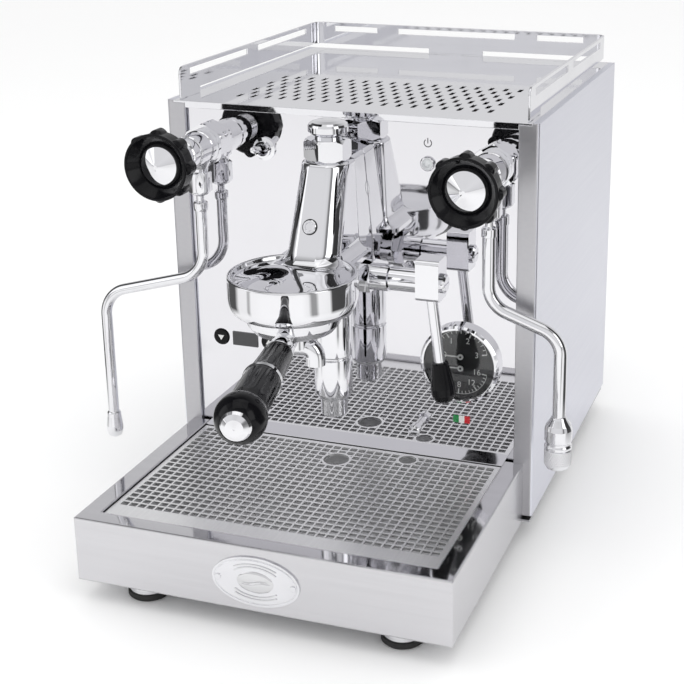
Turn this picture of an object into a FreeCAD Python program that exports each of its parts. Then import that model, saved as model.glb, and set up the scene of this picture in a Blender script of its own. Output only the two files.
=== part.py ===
import FreeCAD, Part
import math
import os
from FreeCAD import Vector

# Counter-top espresso machine with a lever group, two wands and a drip tray.
# Millimetres.  While building: X to the right, -Y towards the user with Y = 0 on
# the front flanges of the body, Z = 0 on the counter top.  At the end everything
# is moved so that the origin is the bottom centre of the whole machine.

# ---- general fits -------------------------------------------------------------
sheet = 1.5            # thickness of the body sheet
gap = 0.3              # clear gap between separate moving bodies
running = 0.05         # radial clearance of a turning or sliding fit

# ---- body ---------------------------------------------------------------------
foot_high = 16.0
body_wide = 285.0
body_deep = 267.0
body_low = 21.0        # lower edge of the side panels above the counter
body_top = 319.0       # cup deck above the counter
flange_wide = 14.5     # front flange of each side panel
top_fold_wide = 5.0    # inward fold along the top of each side panel
panel_set = 3.0        # how far the front panel sits behind the flanges
panel_gap = 0.6        # dark line between front panel and flange
panel_low = 40.0
deck_lip_high = 5.0
corner_round = 2.0

# ---- tray housing, pan and grate ----------------------------------------------
tray_wide = 271.0
tray_reach = 173.0     # front face in front of the flanges
tray_high = 47.0
rim_side = 14.1
rim_front = 12.5
rim_lip = 6.0
pan_wall = 1.2
pan_low = 26.0
pan_rear = 9.1         # rear wall of the pan in front of the flange plane
grate_thick = 1.5
grate_drop = 1.5       # top of the grate below the rim
skirt_high = 9.0
hole_pitch_x = 6.7
hole_pitch_y = 6.4
hole_wide = 5.4
hole_deep = 4.7
hole_columns = 35
hole_rows = 21
hole_first_y = -141.5
drain_hole_radius = 9.6
drain_ring = 1.7
small_hole_radius = 6.6
small_hole_x = 51.0
small_hole_y = -16.6
foot_ledge_front = 6.4  # front edge of the ledge at the foot of the front panel
foot_ledge_drop = 0.5   # top of that ledge below the rim
foot_ledge_lip = 6.0
foot_ledge_side = 0.4

# ---- feet ---------------------------------------------------------------------
foot_x = 94.0
foot_front_y = -149.0
foot_rear_y = 238.0
foot_radius = 15.0
foot_pad_high = 5.0
foot_collar_radius = 14.0

# ---- cup deck, lid and rail ---------------------------------------------------
slot_pitch_x = 11.6
slot_rows = 7
slot_columns = 18
slot_first_y = 33.0
slot_pitch_y = 13.7
slot_wide = 3.4
slot_long = 12.0
lid_wide = 244.0
lid_front_y = 150.0
lid_rear_y = 257.0
lid_thick = 1.2
ledge_wide = 4.0
rail_thick = 1.5
rail_half_wide = 134.5
rail_front_y = 5.0
rail_rear_y = 264.9
rail_high = 24.0
rail_round = 9.0
rail_slot_high = 5.0
rail_slot_z = 18.5     # slot centre above the deck
rail_foot_high = 4.7
rail_side_foot = 30.0
rail_back_foot = 50.0
rail_tab_wide = 12.0
rail_tab_deep = 5.0

# ---- group --------------------------------------------------------------------
valve_y = -33.0        # upright valve axis of the group
bell_y = -99.0
bell_radius = 43.8
bell_low = 206.0
bell_high = 229.0
bell_round_in = 5.0
bell_round_up = 10.0
dish_deep = 3.0
dish_rim = 3.0
dish_slope = 1.6
bell_bore = 37.6
ceiling_z = 219.0
gasket_high = 4.0
gasket_inner = 28.6
screen_thick = 2.4
screen_radius = 28.0
ledge_inner = 34.2
ledge_z = 207.0
ledge_high = 3.2
column_radius = 17.5
neck_top_z = 292.0
neck_front_radius = 20.5
neck_front_y = -61.5
web_top_half = 13.0
web_low_half = 19.0
web_low_z = 196.0
nut_across = 29.0
nut_high = 15.0
cap_radius = 14.2
cap_high = 13.0
jet_z = 252.0
jet_radius = 4.6
chamber_radius = 10.0
barrel_radius = 13.9
barrel_low = 114.0
barrel_joint_z = 146.0
nozzle_radius = 9.9
nozzle_low = 99.4
exhaust_bore = 5.0

# ---- brew lever ---------------------------------------------------------------
lever_z = 209.0
shaft_radius = 5.0
gland_end_x = 45.0
gland_across = 21.0
gland_radius = 12.0
hub_radius = 8.6
block_x = 66.5
block_wide = 17.0
block_deep = 19.0
block_low = 197.0
block_top = 227.0
lever_screw_radius = 7.0
lever_screw_out = 3.4
rod_radius = 4.0
lever_lean = 7.0       # outward lean of the lever rod, degrees
grip_top_drop = 59.0   # top of the grip below the lever axis
grip_long = 31.0
grip_top_radius = 6.0
grip_radius = 8.7
cam_offset = 1.6
cam_radius = 4.5
cam_wide = 8.0
pin_radius = 3.0
pin_long = 40.0
pin_foot_radius = 5.4
pin_head_radius = 6.5
pin_guide_high = 8.0

# ---- portafilter --------------------------------------------------------------
filter_turn = 12.0     # handle direction right of straight ahead, degrees
bowl_radius = 33.4
bowl_top = 210.6
bowl_low = 184.0
bowl_round = 9.0
bowl_inner = 30.2
bowl_floor = 189.5
lug_radius = 37.0
lug_low = 210.6
lug_high = 3.6
lug_span = 40.0
ledge_notch = 52.0
basket_radius = 29.4
basket_wall = 0.8
basket_low = 190.3
spout_drop_z = 164.0
spout_block_radius = 10.0
spout_apart = 14.0
spout_radius = 6.6
spout_bore = 4.2
spout_bend = 8.0
handle_z = 190.5
neck_end = 51.0        # distances along the handle from the bell axis
ring_at = 95.0
ring_wide = 4.0
knob_at = 148.5
knob_radius = 15.6
handle_neck_radius = 9.6
handle_grip_radius = 12.2
handle_cap_radius = 9.4
handle_cap_out = 5.0
flute_count = 10
flute_radius = 2.0

# ---- steam and hot-water valves -----------------------------------------------
valve_x = 111.5
valve_z = 287.0
valve_nut_across = 30.0
valve_nut_thick = 9.0
valve_radius = 12.0
valve_front = 62.0     # front end of the valve body, in front of the flanges
spindle_radius = 4.0
wheel_face = 78.0
wheel_thick = 15.0
wheel_radius = 24.0
wheel_dish_radius = 21.8
wheel_dish_deep = 9.0
lug_count = 8
lug_out = 2.6
lug_round = 4.0
lug_long = 9.0
wheel_cap_radius = 14.2
wheel_cap_out = 7.5
branch_y = -14.0
branch_nut_across = 15.5
branch_nut_top = 270.5
ball_radius = 6.5
ball_z = 257.0
socket_mouth = 4.0     # mouth of the socket below the ball centre
tube_neck_radius = 2.8
collar_z = 247.0
collar_radius = 5.4
collar_high = 5.0
wand_radius = 4.2
water_wand_radius = 4.7
steam_reach_z = 186.0
steam_out = 87.0
steam_run_end_z = 176.0
steam_pipe_low = 65.0
steam_tip_radius = 6.5
steam_tip_low = 44.0
water_out = 53.0
water_run_end_z = 181.0
water_pipe_low = 110.0
water_nozzle_radius = 10.0
water_nozzle_low = 72.0

# ---- controls on the front panel ----------------------------------------------
gauge_x = 86.5
gauge_z = 136.5
gauge_radius = 30.0
gauge_out = 7.0
gauge_wall = 3.0
gauge_behind = 22.0
dial_thick = 1.0
glass_thick = 1.4
needle_up = 5.0
needle_low = -4.0
needle_long = 19.0
needle_thick = 0.5
display_x = -88.0
display_z = 134.0
display_wide = 21.0
display_high = 11.0
button_apart = 20.2
button_radius = 6.4
button_out = 1.4
toggle_x = -65.5
toggle_z = 286.5
toggle_collar_radius = 8.6
toggle_out = 5.0
bat_length = 24.0
bat_tilt = 8.0
bat_pivot_in = 2.0     # pivot behind the front of the panel
lamp_x = 61.0
lamp_z = 284.6
lamp_radius = 5.0
adjust_x = 54.0
adjust_z = 83.0
adjust_out = 15.0
adjust_radius = 4.4
badge_z = 38.5
badge_wide = 63.0
badge_high = 36.0
badge_thick = 1.2
badge_pin_apart = 54.0
badge_pin_radius = 2.1
strip_x = 87.0
strip_z = 91.0
strip_wide = 13.0
strip_high = 5.5

# ---- inside -------------------------------------------------------------------
boiler_radius = 52.0
boiler_long = 176.0
boiler_y = 96.0
boiler_z = 170.0
boiler_dome = 12.0
saddle_x = 55.0
saddle_wide = 16.0
tank_x = 116.0
tank_front_y = 163.0
tank_rear_y = 249.0
tank_low = 60.0
tank_top = 308.0
tank_wall = 2.5
pump_x = 90.0
pump_y = 60.0
pump_z = 48.0
pump_radius = 17.0
pump_long = 74.0
control_x = -93.0
control_y = 62.0
pipe_radius = 4.0
inlet_x = -85.0
inlet_z = 40.0
inlet_wide = 28.0
inlet_high = 21.0


# ---- helpers ------------------------------------------------------------------
def block(x0, x1, y0, y1, z0, z1):
    return Part.makeBox(x1 - x0, y1 - y0, z1 - z0, Vector(x0, y0, z0))


def bar(at, along, radius, length):
    return Part.makeCylinder(radius, length, Vector(*at), Vector(*along))


def taper(at, along, radius_a, radius_b, length):
    return Part.makeCone(radius_a, radius_b, length, Vector(*at), Vector(*along))


def ring(at, along, outer, inner, length):
    return bar(at, along, outer, length).cut(bar(at, along, inner, length))


def turned(profile, at, along=(0, 0, 1)):
    """Solid turned from (radius, height) points about an axis."""
    points = [Vector(r, 0, z) for r, z in profile]
    points.append(points[0])
    body = Part.Face(Part.makePolygon(points)).revolve(Vector(0, 0, 0), Vector(0, 0, 1), 360)
    turn = FreeCAD.Rotation(Vector(0, 0, 1), Vector(*along))
    body.Placement = FreeCAD.Placement(Vector(*at), turn)
    return body


def hexagon(at, along, across, length):
    """Hexagonal bar, flats left and right when it lies along Y."""
    corner = across / math.sqrt(3)
    points = []
    for step in range(7):
        angle = math.radians(60 * step + 30)
        points.append(Vector(corner * math.cos(angle), corner * math.sin(angle), 0))
    body = Part.Face(Part.makePolygon(points)).extrude(Vector(0, 0, length))
    turn = FreeCAD.Rotation(Vector(0, 0, 1), Vector(*along))
    body.Placement = FreeCAD.Placement(Vector(*at), turn)
    return body


def punched(outline, holes, thick):
    """Flat plate with holes: wires lie in one horizontal plane, thickness upward."""
    face = Part.makeFace([outline] + holes, "Part::FaceMakerBullseye")
    return face.extrude(Vector(0, 0, thick))


def loop(points, z):
    corners = [Vector(x, y, z) for x, y in points]
    corners.append(corners[0])
    return Part.makePolygon(corners)


def rectangle(x0, x1, y0, y1, z):
    return loop([(x0, y0), (x1, y0), (x1, y1), (x0, y1)], z)


def slot_loop(x, y, wide, long, z):
    """Upright slot with round ends, longer along Y."""
    r = wide / 2
    half = long / 2 - r
    left = Part.makeLine(Vector(x - r, y + half, z), Vector(x - r, y - half, z))
    low = Part.Arc(Vector(x - r, y - half, z), Vector(x, y - half - r, z), Vector(x + r, y - half, z))
    right = Part.makeLine(Vector(x + r, y - half, z), Vector(x + r, y + half, z))
    top = Part.Arc(Vector(x + r, y + half, z), Vector(x, y + half + r, z), Vector(x - r, y + half, z))
    return Part.Wire([left, low.toShape(), right, top.toShape()])


def bent_pipe(points, radius, bend):
    """Round bar along straight runs joined by round bends."""
    spots = [Vector(*p) for p in points]
    edges = []
    start = spots[0]
    for before, corner, after in zip(spots, spots[1:], spots[2:]):
        into = (before - corner).normalize()
        out = (after - corner).normalize()
        half = into.getAngle(out) / 2
        back = bend / math.tan(half)
        first = corner + into * back
        last = corner + out * back
        middle_way = (into + out).normalize()
        middle = corner + middle_way * (bend / math.sin(half) - bend)
        edges.append(Part.makeLine(start, first))
        edges.append(Part.Arc(first, middle, last).toShape())
        start = last
    edges.append(Part.makeLine(start, spots[-1]))
    path = Part.Wire(edges)
    profile = Part.Wire(Part.makeCircle(radius, spots[0], spots[1] - spots[0]))
    return path.makePipeShell([profile], True, False)


def joined(first, *rest):
    body = first
    for other in rest:
        body = body.fuse(other)
    return body.removeSplitter()


def mirrored(body):
    return body.mirror(Vector(0, 0, 0), Vector(1, 0, 0))


parts = {}
half_body = body_wide / 2
half_tray = tray_wide / 2
tray_top = foot_high + tray_high
base_top = foot_high + sheet
plate_z = body_top - sheet
panel_half = half_body - flange_wide - panel_gap
panel_back = panel_set + sheet

# ---- feet ---------------------------------------------------------------------
foot_places = []
for side in (-1, 1):
    for y in (foot_front_y, foot_rear_y):
        foot_places.append((side * foot_x, y))
pads = []
collars = []
for x, y in foot_places:
    pads.append(turned([(0, 0), (foot_radius - 1.5, 0), (foot_radius, 1.5),
                        (foot_radius, foot_pad_high), (0, foot_pad_high)], (x, y, 0)))
    collars.append(turned([(0, foot_pad_high), (foot_collar_radius, foot_pad_high),
                           (foot_collar_radius, 14.0), (foot_collar_radius - 2, foot_high),
                           (0, foot_high)], (x, y, 0)))
parts["foot_pads"] = Part.Compound(pads)
parts["foot_collars"] = Part.Compound(collars)

# ---- base plate: floor of the tray housing and of the body ----------------------
floor_half = half_body - sheet
step_half = half_tray - sheet
base = block(-step_half, step_half, -tray_reach + sheet, 0, foot_high, base_top)
base = base.fuse(block(-floor_half, floor_half, 0, body_deep - sheet, foot_high, base_top))
for side in (-1, 1):
    # upright edges that the side panels are screwed to
    inner = floor_half - sheet
    edge_x = sorted((side * floor_half, side * inner))
    base = base.fuse(block(edge_x[0], edge_x[1], 2 * sheet + 12, body_deep - sheet, base_top, 34))
    # runners under the drip pan
    base = base.fuse(block(side * 70 - 6, side * 70 + 6, -150, -20, base_top, pan_low - gap))
parts["base_plate"] = base.removeSplitter()

# ---- tray housing ---------------------------------------------------------------
open_half = half_tray - rim_side
open_front = -tray_reach + rim_front
shell = block(-half_tray, half_tray, -tray_reach, 0, foot_high, tray_top)
hollow = block(-step_half, step_half, -tray_reach + sheet, 0, foot_high, tray_top - sheet)
lip_low = tray_top - sheet - rim_lip
lip = block(-open_half - sheet, open_half + sheet, open_front - sheet, 0, lip_low, tray_top - sheet)
opening = block(-open_half, open_half, open_front, 0, foot_high, tray_top)
housing = shell.cut(hollow).fuse(lip).cut(opening).removeSplitter()
long_edges = []
for edge in housing.Edges:
    box = edge.BoundBox
    upright = box.ZLength > tray_high - 1 and box.YMax < -tray_reach + 0.1
    top_outer = box.ZMin > tray_top - 0.1 and (box.XLength > tray_wide - 1 or abs(box.XMin) > half_tray - 0.1
                                               and abs(box.XMax) > half_tray - 0.1)
    if upright or top_outer:
        long_edges.append(edge)
housing = housing.makeFillet(1.0, long_edges)
parts["tray_housing"] = housing

# ---- oval badge on the tray front -------------------------------------------------
oval = Part.Ellipse(Vector(0, 0, 0), badge_wide / 2, badge_high / 2).toShape()
plate = Part.Face(Part.Wire(oval)).extrude(Vector(0, 0, badge_thick))
border = Part.Ellipse(Vector(0, 0, 0), badge_wide / 2 - 1.6, badge_high / 2 - 1.6).toShape()
border_in = Part.Ellipse(Vector(0, 0, 0), badge_wide / 2 - 2.4, badge_high / 2 - 2.4).toShape()
groove = Part.Face(Part.Wire(border)).extrude(Vector(0, 0, 0.3))
groove = groove.cut(Part.Face(Part.Wire(border_in)).extrude(Vector(0, 0, 0.3)))
groove.translate(Vector(0, 0, badge_thick - 0.3))
plate = plate.cut(groove)
plate.Placement = FreeCAD.Placement(Vector(0, -tray_reach, badge_z), FreeCAD.Rotation(Vector(1, 0, 0), 90))
pins = []
for side in (-1, 1):
    pins.append(bar((side * badge_pin_apart / 2, -tray_reach - badge_thick, badge_z), (0, -1, 0),
                    badge_pin_radius, 0.8))
parts["badge"] = joined(plate, *pins)

# ---- side panels --------------------------------------------------------------------
side_sheet = block(half_body - sheet, half_body, 0, body_deep, body_low, body_top)
flange = block(half_body - flange_wide, half_body, 0, sheet, body_low, plate_z)
fold = block(half_body - flange_wide, half_body - flange_wide + sheet, 0, 12, body_low + 30, plate_z)
tab = block(half_body - flange_wide - 6, half_body - flange_wide + sheet, panel_back, panel_back + sheet,
            panel_low, plate_z)
top_fold = block(half_body - top_fold_wide, half_body, 0, body_deep, plate_z, body_top)
side_panel = joined(side_sheet, flange, fold, tab, top_fold)
front_edges = []
for edge in side_panel.Edges:
    box = edge.BoundBox
    if box.XMin > half_body - 0.01 and box.YMax < 0.01:
        front_edges.append(edge)
side_panel = side_panel.makeFillet(corner_round, front_edges)
parts["side_right"] = side_panel
parts["side_left"] = mirrored(side_panel)

# ---- rear panel ---------------------------------------------------------------------
rear_half = floor_half
rear = block(-rear_half, rear_half, body_deep - sheet, body_deep, foot_high, plate_z)
vents = []
for row in range(3):
    for column in range(9):
        x = (column - 4) * 20
        z = 225 + row * 22
        vents.append(block(x - 2, x + 2, body_deep - 2 * sheet, body_deep + sheet, z, z + 16))
rear = rear.cut(Part.Compound(vents))
rear = rear.cut(block(inlet_x - inlet_wide / 2, inlet_x + inlet_wide / 2, body_deep - 2 * sheet,
                      body_deep + sheet, inlet_z - inlet_high / 2, inlet_z + inlet_high / 2))
parts["rear_panel"] = rear

# ---- front panel --------------------------------------------------------------------
panel = block(-panel_half, panel_half, panel_set, panel_back, panel_low, plate_z)


def panel_hole(x, z, radius):
    return bar((x, panel_set - 1, z), (0, 1, 0), radius, sheet + 2)


group_boss_radius = 16.0
valve_tail_radius = 8.0
panel_cuts = [panel_hole(0, 262, group_boss_radius + 0.2),
              panel_hole(-valve_x, valve_z, valve_tail_radius + 0.2),
              panel_hole(valve_x, valve_z, valve_tail_radius + 0.2),
              panel_hole(gauge_x, gauge_z, gauge_radius - 3),
              panel_hole(toggle_x, toggle_z, 5.0),
              panel_hole(lamp_x, lamp_z, lamp_radius - 1.2),
              panel_hole(adjust_x, adjust_z, 3.0 + running),
              panel_hole(display_x - button_apart, display_z, button_radius + gap),
              panel_hole(display_x + button_apart, display_z, button_radius + gap)]
parts["front_panel"] = panel.cut(Part.Compound(panel_cuts))

# ledge with a folded front edge that closes the tray against the front panel
ledge_half = open_half - foot_ledge_side
ledge_top = tray_top - foot_ledge_drop
foot_ledge = block(-ledge_half, ledge_half, -foot_ledge_front, panel_set, ledge_top - sheet, ledge_top)
foot_ledge = foot_ledge.fuse(block(-ledge_half, ledge_half, -foot_ledge_front, -foot_ledge_front + sheet,
                                   ledge_top - foot_ledge_lip, ledge_top - sheet))
parts["panel_ledge"] = foot_ledge.removeSplitter()

# ---- cup deck, tank lid and rail -----------------------------------------------------
deck_half = half_body - top_fold_wide
lid_half = lid_wide / 2
lid_clear = 0.4
slots = []
for row in range(slot_rows):
    shifted = row % 2
    for column in range(slot_columns - shifted):
        x = (column - (slot_columns - 1 - shifted) / 2) * slot_pitch_x
        slots.append(slot_loop(x, slot_first_y + row * slot_pitch_y, slot_wide, slot_long, plate_z))
lid_hole = rectangle(-lid_half - lid_clear, lid_half + lid_clear, lid_front_y - lid_clear,
                     lid_rear_y + lid_clear, plate_z)
rail_line = rail_half_wide - rail_thick / 2
rail_back_line = rail_rear_y - rail_thick / 2
tab_fit = running + 0.03
tab_spots = []
for side in (-1, 1):
    tab_y = rail_front_y + rail_side_foot / 2
    tab_spots.append((side * rail_line, tab_y, rail_thick, rail_tab_wide))
tab_spots.append((0, rail_back_line, rail_tab_wide, rail_thick))
tab_holes = []
for x, y, wide, deep in tab_spots:
    tab_holes.append(rectangle(x - wide / 2 - tab_fit, x + wide / 2 + tab_fit,
                               y - deep / 2 - tab_fit, y + deep / 2 + tab_fit, plate_z))
deck = punched(rectangle(-deck_half, deck_half, 0, body_deep, plate_z), slots + tab_holes + [lid_hole], sheet)
lip_half = half_body - flange_wide
deck_lip = block(-lip_half, lip_half, 0, sheet, body_top - deck_lip_high, plate_z)
lip_back = block(-lip_half, lip_half, sheet, panel_set, plate_z - sheet, plate_z)
ledge_outer = rectangle(-lid_half - 3, lid_half + 3, lid_front_y - 3, lid_rear_y + 3, plate_z - sheet)
ledge_hole = rectangle(-lid_half + ledge_wide, lid_half - ledge_wide, lid_front_y + ledge_wide,
                       lid_rear_y - ledge_wide, plate_z - sheet)
ledge = punched(ledge_outer, [ledge_hole], sheet)
parts["cup_deck"] = joined(deck, deck_lip, lip_back, ledge)
parts["tank_lid"] = block(-lid_half, lid_half, lid_front_y, lid_rear_y, body_top - lid_thick, body_top)

rail_low = body_top + gap
rail_top = body_top + rail_high


def rail_ring(half, front, rear, radius, low, top):
    body = block(-half, half, front, rear, low, top)
    corners = []
    for edge in body.Edges:
        if edge.BoundBox.ZLength > 1 and edge.BoundBox.YMin > rear - 0.1:
            corners.append(edge)
    return body.makeFillet(radius, corners)


rail = rail_ring(rail_half_wide, rail_front_y, rail_rear_y, rail_round, rail_low, rail_top)
inner_half = rail_half_wide - rail_thick
rail = rail.cut(rail_ring(inner_half, rail_front_y - 5, rail_rear_y - rail_thick, rail_round - rail_thick,
                          rail_low - 1, rail_top + 1))
slot_low = body_top + rail_slot_z - rail_slot_high / 2
slot_top = slot_low + rail_slot_high
rail_cuts = []
for start, end in ((20, 120), (139, 240)):
    rail_cuts.append(block(-half_body, half_body, start, end, slot_low, slot_top))
for start, end in ((-115, -74), (-54, 54), (74, 115)):
    rail_cuts.append(block(start, end, 200, body_deep, slot_low, slot_top))
low_top = body_top + rail_foot_high
low_front = rail_front_y + rail_side_foot
for side in (-1, 1):
    edge_x = sorted((side * rail_back_foot / 2, side * half_body))
    rail_cuts.append(block(edge_x[0], edge_x[1], low_front, body_deep, body_top, low_top))
for cut in rail_cuts:
    rail = rail.cut(cut)
# round the upper front corners of both sides
corner = 6.0
for side in (-1, 1):
    edge_x = sorted((side * (rail_half_wide - 4), side * (rail_half_wide + 1)))
    bite = block(edge_x[0], edge_x[1], rail_front_y - 1, rail_front_y + corner, rail_top - corner, rail_top + 1)
    keep = bar((edge_x[0], rail_front_y + corner, rail_top - corner), (1, 0, 0), corner, edge_x[1] - edge_x[0])
    rail = rail.cut(bite.cut(keep))
for x, y, wide, deep in tab_spots:
    rail = rail.fuse(block(x - wide / 2, x + wide / 2, y - deep / 2, y + deep / 2,
                           body_top - rail_tab_deep, rail_low))
parts["cup_rail"] = rail.removeSplitter()

# ---- drip pan and grate -----------------------------------------------------------------
grate_half = open_half - 1.0
grate_front = open_front + 1.0
grate_rear = -pan_rear + 1.6
grate_top = tray_top - grate_drop
grate_low = grate_top - grate_thick
pan_half = grate_half - pan_wall - 0.4
pan_front = grate_front + pan_wall + 0.4
pan_top = grate_low - gap
pan = block(-pan_half, pan_half, pan_front, -pan_rear, pan_low, pan_top)
pan = pan.cut(block(-pan_half + pan_wall, pan_half - pan_wall, pan_front + pan_wall, -pan_rear - pan_wall,
                    pan_low + pan_wall, pan_top))
parts["drip_pan"] = pan

drains = ((0, valve_y + 1, drain_hole_radius), (small_hole_x, small_hole_y, small_hole_radius))
holes = []
cut_short = []
for row in range(hole_rows):
    y = hole_first_y + row * hole_pitch_y
    for column in range(hole_columns):
        x = (column - (hole_columns - 1) / 2) * hole_pitch_x
        meets_drain = False
        for cx, cy, radius in drains:
            near_x = max(abs(x - cx) - hole_wide / 2, 0)
            near_y = max(abs(y - cy) - hole_deep / 2, 0)
            if math.hypot(near_x, near_y) < radius + drain_ring + 0.2:
                meets_drain = True
        if meets_drain:
            cut_short.append(block(x - hole_wide / 2, x + hole_wide / 2, y - hole_deep / 2, y + hole_deep / 2,
                                   grate_low - 1, grate_top + 1))
        else:
            holes.append(rectangle(x - hole_wide / 2, x + hole_wide / 2, y - hole_deep / 2,
                                   y + hole_deep / 2, grate_low))
grate = punched(rectangle(-grate_half, grate_half, grate_front, grate_rear, grate_low), holes, grate_thick)
for hole in cut_short:
    grate = grate.cut(hole)
for cx, cy, radius in drains:
    grate = grate.fuse(bar((cx, cy, grate_low), (0, 0, 1), radius + drain_ring, grate_thick))
    grate = grate.cut(bar((cx, cy, grate_low - 1), (0, 0, 1), radius, grate_thick + 2))
skirt = block(-grate_half, grate_half, grate_front, grate_rear, grate_low - skirt_high, grate_low)
skirt = skirt.cut(block(-grate_half + pan_wall, grate_half - pan_wall, grate_front + pan_wall,
                        grate_rear - pan_wall, grate_low - skirt_high, grate_low))
parts["drip_grate"] = grate.fuse(skirt)

# ---- group body -----------------------------------------------------------------------------
bell_profile = [(0, bell_low)]
for step in range(9):
    angle = math.pi / 2 * step / 8
    bell_profile.append((bell_radius - bell_round_in * (1 - math.sin(angle)),
                         bell_low + bell_round_up * (1 - math.cos(angle))))
bell_profile += [(bell_radius, bell_high - 1.5), (bell_radius - 0.4, bell_high - 0.4),
                 (bell_radius - 1.5, bell_high), (bell_radius - dish_rim, bell_high),
                 (bell_radius - dish_rim - dish_slope, bell_high - dish_deep), (0, bell_high - dish_deep)]
bell = turned(bell_profile, (0, bell_y, 0))
column = taper((0, valve_y, 178), (0, 0, 1), barrel_radius, column_radius, 22)
column = column.fuse(bar((0, valve_y, 200), (0, 0, 1), column_radius, neck_top_z - 200))
low_ring = Part.Wire(Part.makeCircle(neck_front_radius, Vector(0, neck_front_y, bell_high - 6)))
top_ring = Part.Wire(Part.makeCircle(column_radius, Vector(0, valve_y - 3, neck_top_z)))
neck = Part.makeLoft([low_ring, top_ring], True)
# flat face down the front of the neck
slope = math.atan2((valve_y - 3 - column_radius) - (neck_front_y - neck_front_radius),
                   neck_top_z - bell_high + 6)
shave = block(-40, 40, -30, 0, -20, 120)
shave.rotate(Vector(0, 0, 0), Vector(1, 0, 0), -math.degrees(slope))
shave.translate(Vector(0, neck_front_y - neck_front_radius + 2.4, bell_high - 6))
neck = neck.cut(shave)
throat = block(-neck_front_radius, neck_front_radius, neck_front_y, valve_y, web_low_z + 4, bell_high - 6)
back_y = panel_set
web_points = [(-web_low_half, web_low_z), (web_low_half, web_low_z), (web_low_half, web_low_z + 24),
              (web_top_half, neck_top_z), (-web_top_half, neck_top_z), (-web_low_half, web_low_z + 24)]
web_wire = Part.makePolygon([Vector(x, valve_y, z) for x, z in web_points + [web_points[0]]])
web = Part.Face(web_wire).extrude(Vector(0, back_y - valve_y, 0))
boss = bar((0, back_y, 262), (0, 1, 0), group_boss_radius, 14)
side_arm = bar((0, valve_y, lever_z), (1, 0, 0), gland_radius, 24.0)
group = joined(bell, column, neck, throat, web, boss, side_arm)
# cavity for the filter holder, closed by the gasket and screen above it
group = group.cut(bar((0, bell_y, bell_low - 1), (0, 0, 1), bell_bore, ceiling_z - bell_low + 1))
# chamber of the brew valve with the bore of the lever shaft
group = group.cut(bar((0, valve_y, lever_z - 9), (0, 0, 1), chamber_radius, neck_top_z - lever_z + 9))
group = group.cut(bar((0, valve_y, lever_z), (1, 0, 0), shaft_radius + running, 30))
group = group.cut(bar((0, valve_y, 170), (0, 0, 1), exhaust_bore, 40))
# bayonet ledges that carry the filter holder
ledge_ring = ring((0, bell_y, ledge_z), (0, 0, 1), bell_bore, ledge_inner, ledge_high)
notches = []
for turn in (0, 180):
    wedge = Part.makeCylinder(bell_radius, ledge_high + 2, Vector(0, bell_y, ledge_z - 1), Vector(0, 0, 1),
                              ledge_notch)
    wedge.rotate(Vector(0, bell_y, 0), Vector(0, 0, 1), turn + filter_turn - 60 - ledge_notch / 2)
    notches.append(wedge)
ledge_ring = ledge_ring.cut(Part.Compound(notches))
group = group.fuse(ledge_ring)
parts["group_body"] = group

gasket_low = ceiling_z - gasket_high
parts["group_gasket"] = ring((0, bell_y, gasket_low), (0, 0, 1), bell_bore, gasket_inner,
                             ceiling_z - gasket_low)
screen = bar((0, bell_y, ceiling_z - 3 - screen_thick), (0, 0, 1), screen_radius, screen_thick)
screen = screen.fuse(bar((0, bell_y, ceiling_z - 3), (0, 0, 1), 5, 3))
screen_holes = []
for count, radius in ((8, 10), (14, 17), (20, 24)):
    for step in range(count):
        angle = 2 * math.pi * step / count
        screen_holes.append(bar((radius * math.cos(angle), bell_y + radius * math.sin(angle), gasket_low - 5),
                                (0, 0, 1), 0.9, 8))
parts["shower_screen"] = screen.cut(Part.Compound(screen_holes))

# nut and cap on top of the neck, jet plug on its front, gland nut of the lever shaft
# and the guide of the brew valve pin
top_nut = hexagon((0, valve_y - 1, neck_top_z), (0, 0, 1), nut_across, nut_high)
nut_bevel = turned([(0, 0), (nut_across / 2, 0), (nut_across / 2 + 3, 3), (nut_across / 2 + 3, nut_high - 3),
                    (nut_across / 2, nut_high), (0, nut_high)], (0, valve_y - 1, neck_top_z))
top_nut = top_nut.common(nut_bevel)
jet_front = valve_y - 3 - column_radius + 2.4 - (neck_top_z - jet_z) * math.tan(slope)
jet = bar((0, 0, 0), (0, -1, 0), jet_radius, 1.6)
jet = jet.cut(bar((0, -0.8, 0), (0, -1, 0), 1.8, 1))
jet.rotate(Vector(0, 0, 0), Vector(1, 0, 0), -math.degrees(slope))
jet.translate(Vector(0, jet_front, jet_z))
gland = hexagon((24, valve_y, lever_z), (1, 0, 0), gland_across, 8)
gland = gland.fuse(bar((32, valve_y, lever_z), (1, 0, 0), gland_radius - 2.4, gland_end_x - 32))
gland = gland.cut(bar((20, valve_y, lever_z), (1, 0, 0), shaft_radius + running, 30))
guide_low = lever_z + 22
guide = ring((0, valve_y, guide_low), (0, 0, 1), chamber_radius, pin_radius + running, pin_guide_high)
cap_low = neck_top_z + nut_high
top_cap = turned([(0, 0), (cap_radius - 4.5, 0), (cap_radius - 4.5, 1.4), (cap_radius - 1.2, 3.2),
                  (cap_radius, 4.6), (cap_radius, 8.4), (cap_radius - 0.7, 10.0),
                  (cap_radius - 2.4, 11.2), (cap_radius - 6, cap_high - 0.6), (4, cap_high),
                  (0, cap_high)], (0, valve_y + 1, cap_low))
parts["group_fittings"] = Part.Compound([top_nut, top_cap, jet, gland, guide])

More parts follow.
